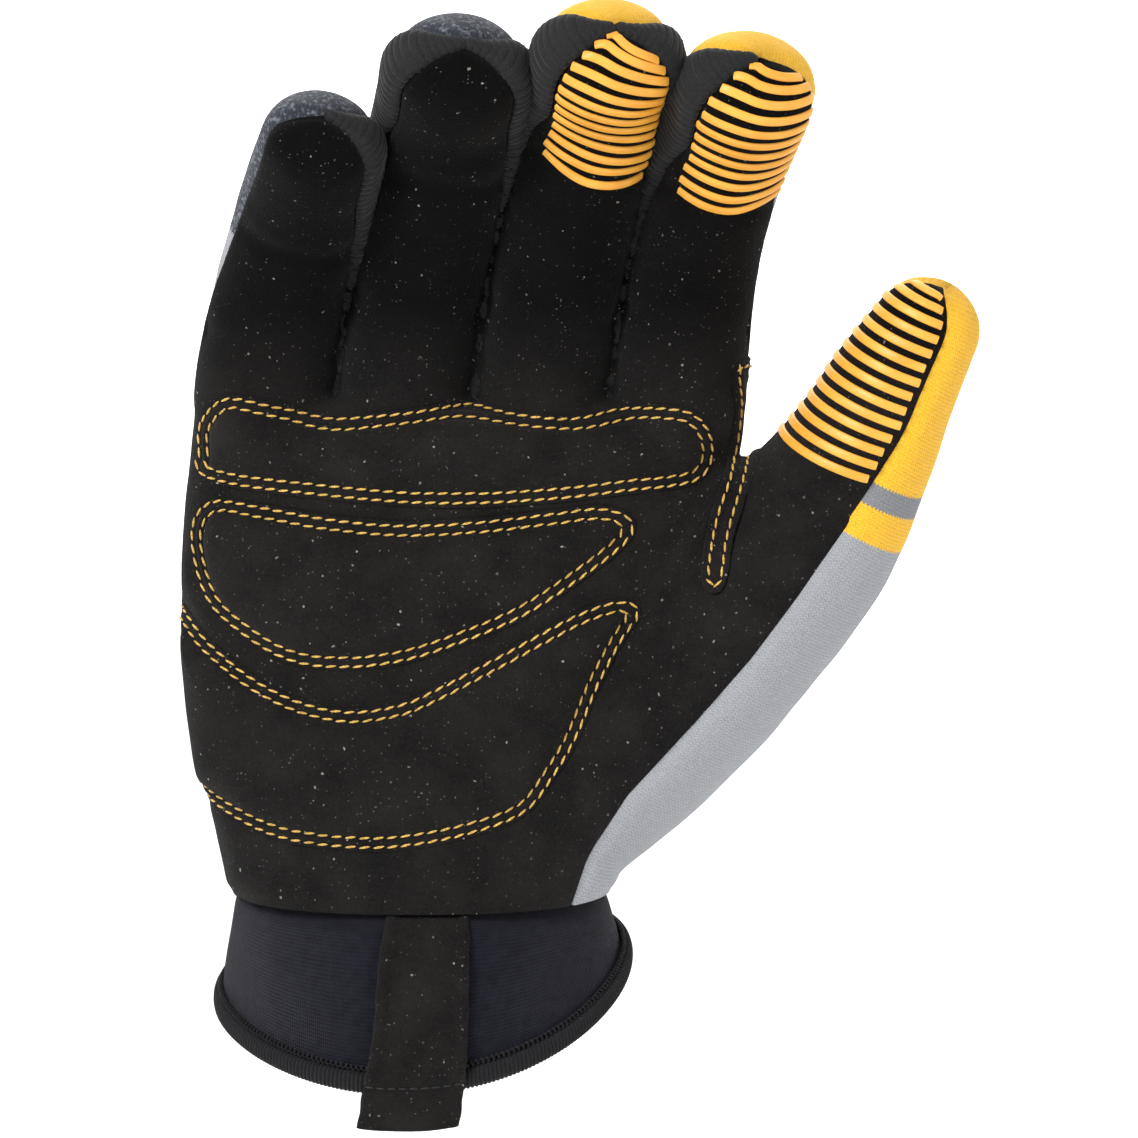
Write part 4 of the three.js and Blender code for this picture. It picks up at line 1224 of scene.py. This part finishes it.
def cuff_point(row, angle, out=0.0):
    """A place on a ring of the cuff: [y, z, half width, half depth, dip, lean]."""
    y, z, half_width, half_depth, dip, lean = np.moveaxis(np.asarray(row, float), -1, 0)
    angle, dip, lean = np.radians(angle), np.radians(dip), np.radians(lean)
    across, forward = np.sin(angle), np.cos(angle)
    depth, side = half_depth + out, (half_width + out) * across
    rise = side * np.sin(lean) * (1 - 0.5 * forward) - depth * np.sin(dip) * forward * (0.6 + 0.4 * forward)
    return np.stack([CUFF_X + side * np.cos(lean), y - depth * np.cos(dip) * forward, z + rise], -1)


def finish_dense_knit(name, dark, light, wale, course):
    material, tree, surface = new_material(
        name, Roughness=0.85, **{"Sheen Weight": 0.06, "Sheen Roughness": 0.4, "Specular IOR Level": 0.1}
    )
    height, _ = knit_height(tree, attribute(tree, "cloth_u"), attribute(tree, "cloth_v"), wale, course)
    at = place_on(tree)
    shade = combined(tree, "MULTIPLY_ADD", height, 0.5, cloudy(tree, at, 500.0, 4.0))
    base = mixed(tree, spread(tree, shade, 0.35, 1.0), srgb(dark), srgb(light))
    dusty = mixed(tree, lint_on(tree, at, 330.0, 0.1, 0.1), base, srgb("#8f8f96"))
    dress(tree, surface, dusty, height, 0.8, 0.00025)
    return material


cuff_knit = finish_dense_knit("dense navy stretch knit", "#0d0d15", "#1e1e29", 0.42, 0.36)
angles = np.arange(CUFF_COLUMNS) * 360 / CUFF_COLUMNS
levels = along_curve(CUFF_ROWS, np.linspace(0, 1, CUFF_LEVELS))
at = cuff_point(levels[:, None, :], angles[None, :]).reshape(-1, 3)
at = at + unit(at * [1, 1, 0]) * (ripple(at, 15.0, 8) * 0.5)[:, None]
cuff = made_of(cuff_knit, "cuff_knit", at, grid_faces(CUFF_LEVELS, CUFF_COLUMNS, closed=True)[:, ::-1])
note_on(cuff.data, "cloth_u", np.tile(angles * CUFF_MM_PER_DEGREE, CUFF_LEVELS))
note_on(cuff.data, "cloth_v", np.repeat(np.linspace(0, CUFF_LENGTH, CUFF_LEVELS), CUFF_COLUMNS))
give_wall(cuff, CUFF_CLOTH)
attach(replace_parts(cuff, "cuff"), "root")


# The binding: a ribbed elastic tape folded over the cuff's edge, with a roll of overlocked
# thread along its upper side.
def rim_point(angle, out, down):
    """A place by the rim, measured out from the cuff's face and down past its edge."""
    edge = cuff_point(CUFF_ROWS[-1], angle)
    up = unit(cuff_point(CUFF_ROWS[-2], angle) - edge)
    away = cuff_point(CUFF_ROWS[-1], angle, 1) - edge
    away = unit(away - (away * up).sum(-1, keepdims=True) * up)
    return edge + away * np.asarray(out)[..., None] - up * np.asarray(down)[..., None]


RIBS_ROUND, STEPS_PER_RIB = 300, 6
EDGE_RIB, ROLL_TURNS, ROLL_STEPS, ROLL_RADIUS, ROLL_THREAD = 0.42, 240, 7, 0.4, 0.4
TAPE_MIDDLE = np.array([-0.7, -0.8])
# The tape's section, out from the cuff's face and down past its edge
TAPE = np.array([
    (0.1, -1.7), (0.75, -1.75), (1.25, -1.45), (1.42, -0.7), (1.45, 0.2), (1.3, 0.95), (0.8, 1.4),
    (-0.2, 1.55), (-1.6, 1.5), (-2.4, 1.2), (-2.75, 0.4), (-2.8, -1.0), (-2.75, -2.4), (-2.2, -2.8),
])
columns = RIBS_ROUND * STEPS_PER_RIB
angles = np.arange(columns) * 360 / columns
rib = np.abs(np.sin(math.pi * np.arange(columns) / STEPS_PER_RIB)) ** 0.8 * EDGE_RIB
rows = []
for out, down in TAPE:
    away = unit(np.array([out, down]) - TAPE_MIDDLE)
    rows.append(rim_point(angles, out + away[0] * rib, down + away[1] * rib))
elastic = finish_rib("black ribbed elastic tape", "#0c0c0d", "#232326")
tape_faces = grid_faces(len(TAPE), columns, closed=True)[:, ::-1]
tape = made_of(elastic, "edge_tape", np.concatenate(rows), tape_faces)
t = np.arange(ROLL_TURNS * ROLL_STEPS + 1) / (ROLL_TURNS * ROLL_STEPS)
curl = 2 * math.pi * ROLL_TURNS * t
roll_at = rim_point(t * 360, 0.6 + ROLL_RADIUS * np.cos(curl), -2.65 + ROLL_RADIUS * np.sin(curl))
roll_line = (roll_at, np.tile([0.0, 0, 1], (len(t), 1)), np.ones(len(t)))
roll = sweep("overlock_roll", [roll_line], ROLL_THREAD, ROLL_THREAD, elastic)
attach(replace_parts(tape, "cuff_binding"), "root")
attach(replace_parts(roll, "cuff_binding"), "root")


# The pull tab: a strap of suede from under the palm's hem, down the front of the cuff and over
# its edge, its long edges folded under, sewn across with black thread where it passes the rim.
TAB_ROWS, TAB_COLUMNS = 90, 33
TAB_CLOTH, TAB_HALF = 1.3, 7.6
SEWN_AT = 0.715  # the share of its length where the tab is sewn across
hem = along_curve(CUFF_ROWS, np.array([0.2, 0.45]))
# How far off the cuff's rings the tab lies, and then how far out and down from the rim
ON_CUFF = [(hem[0], 0.5), (hem[1], 1.1), (CUFF_ROWS[3], 1.3), (CUFF_ROWS[4], 1.5)]
PAST_RIM = [(2.3, -2.8), (2.9, 0.0), (2.6, 4.0), (2.2, 8.0)]
side = np.linspace(-1, 1, TAB_COLUMNS)
shares = np.arange(len(ON_CUFF) + len(PAST_RIM)) / (len(ON_CUFF) + len(PAST_RIM) - 1)
angles = [3.4 - 6.0 * share + np.degrees(side * (7.9 + 0.5 * share) / 36) for share in shares]
controls = [cuff_point(row, angle, out) for (row, out), angle in zip(ON_CUFF, angles)]
controls += [rim_point(angle, *rim) for rim, angle in zip(PAST_RIM, angles[len(ON_CUFF):])]
controls = np.array(controls).reshape(len(controls), -1)
at = along_curve(controls, np.linspace(0, 1, TAB_ROWS)).reshape(-1, 3)
faces = grid_faces(TAB_ROWS, TAB_COLUMNS)
normals = normals_of(at, [tuple(f) for f in faces.tolist()])
if normals[:, 1].mean() > 0:
    faces, normals = faces[:, ::-1], -normals
across = np.tile(side, TAB_ROWS) * TAB_HALF
down = np.repeat(np.linspace(0, 1, TAB_ROWS), TAB_COLUMNS)
folded = 0.75 * smoothstep(5.5, 6.0, np.abs(across)) * (1 - smoothstep(0.62, 0.7, down))
round_edge = -0.35 * smoothstep(7.0, TAB_HALF, np.abs(across))
sewn_across = -0.5 * np.exp(-(((down - SEWN_AT) / 0.016) ** 2))
lift = folded + round_edge + sewn_across + ripple(at, 5.0, 9) * 0.25
at = at + normals * lift[:, None]
at[:, 0] += ripple(at * [0, 0, 1], 3.0, 4) * 0.35 * (np.abs(across) > 6)
tab = made_of(black_suede, "tab", at, faces)
give_wall(tab, TAB_CLOTH, "two layers")
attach(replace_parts(tab, "pull_tab"), "root")
black_thread = finish_thread("black sewing thread", "#070707", "#151514")
row = int(SEWN_AT * TAB_ROWS)
line = at.reshape(TAB_ROWS, TAB_COLUMNS, 3)[row, 2:-2]
ups = normals.reshape(TAB_ROWS, TAB_COLUMNS, 3)[row, 2:-2]
seam = grown("tab_stitches", [(line - ups * 0.05, ups)], stitch_tree, stitch_ids, {
    "Pitch": 1.9 * MM, "Length": 1.7 * MM, "Width": 0.5 * MM, "Slant": 0.0, "Thread": black_thread,
})
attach(seam, "root")


# Where the glove is seen: held up before a white lit panel, over a pale floor, in soft light
# from the upper left and a weaker one from the right. The camera is where the photograph's was.
def soft_light(name, place, target, size, watts):
    lamp = bpy.data.lights.new(name, "AREA")
    lamp.size, lamp.energy = size, watts
    piece = bpy.data.objects.new(name, lamp)
    piece.location = place
    piece.rotation_euler = (Vector(target) - Vector(place)).to_track_quat("-Z", "Y").to_euler()
    bpy.context.scene.collection.objects.link(piece)


AIM = (0.028, 0.0, 0.08)
soft_light("key", (-0.42, -0.62, 0.62), AIM, 0.36, 8.5)
soft_light("fill", (0.62, -0.5, 0.22), AIM, 0.6, 1.6)
soft_light("rim", (0.1, 0.5, 0.6), AIM, 0.5, 2.0)
world = bpy.data.worlds.new("white studio")
world.use_nodes = True
world.node_tree.nodes["Background"].inputs["Color"].default_value = (1, 1, 1, 1)
world.node_tree.nodes["Background"].inputs["Strength"].default_value = 0.55
bpy.context.scene.world = world
bpy.context.scene.view_settings.view_transform = "Standard"
LEFT, RIGHT, FRONT, BACK, LOW, HIGH = -3000, 3000, -2500, 900, -110, 2400
matt, tree, surface = new_material("matt white studio floor", Roughness=0.9)
uneven = mixed(tree, cloudy(tree, place_on(tree), 3.0, 3.0), srgb("#f3f3f1"), srgb("#f7f7f6"))
tree.links.new(uneven, surface.inputs["Base Color"])
corners = [(LEFT, FRONT, LOW), (RIGHT, FRONT, LOW), (RIGHT, BACK, LOW), (LEFT, BACK, LOW)]
floor = made_of(matt, "floor", corners, [(0, 1, 2, 3)])
lit, tree, surface = new_material("white studio panel lit from behind", **{"Emission Strength": 1.1})
uneven = mixed(tree, cloudy(tree, place_on(tree), 1.5), srgb("#fafafa"), srgb("#ffffff"))
tree.links.new(uneven, surface.inputs["Emission Color"])
corners = [(LEFT, BACK, LOW), (RIGHT, BACK, LOW), (RIGHT, BACK, HIGH), (LEFT, BACK, HIGH)]
panel = made_of(lit, "panel", corners, [(0, 1, 2, 3)])

CAMERA_AT, CAMERA_AIM = (0.028, -0.6894, 0.1974), (0.028, 0.0, 0.0758)
camera = bpy.data.objects.new("camera", bpy.data.cameras.new("camera"))
camera.data.sensor_width = 36
camera.data.lens = 121.8
camera.location = CAMERA_AT
camera.rotation_euler = (Vector(CAMERA_AIM) - Vector(CAMERA_AT)).to_track_quat("-Z", "Y").to_euler()
bpy.context.scene.collection.objects.link(camera)
bpy.context.scene.camera = camera
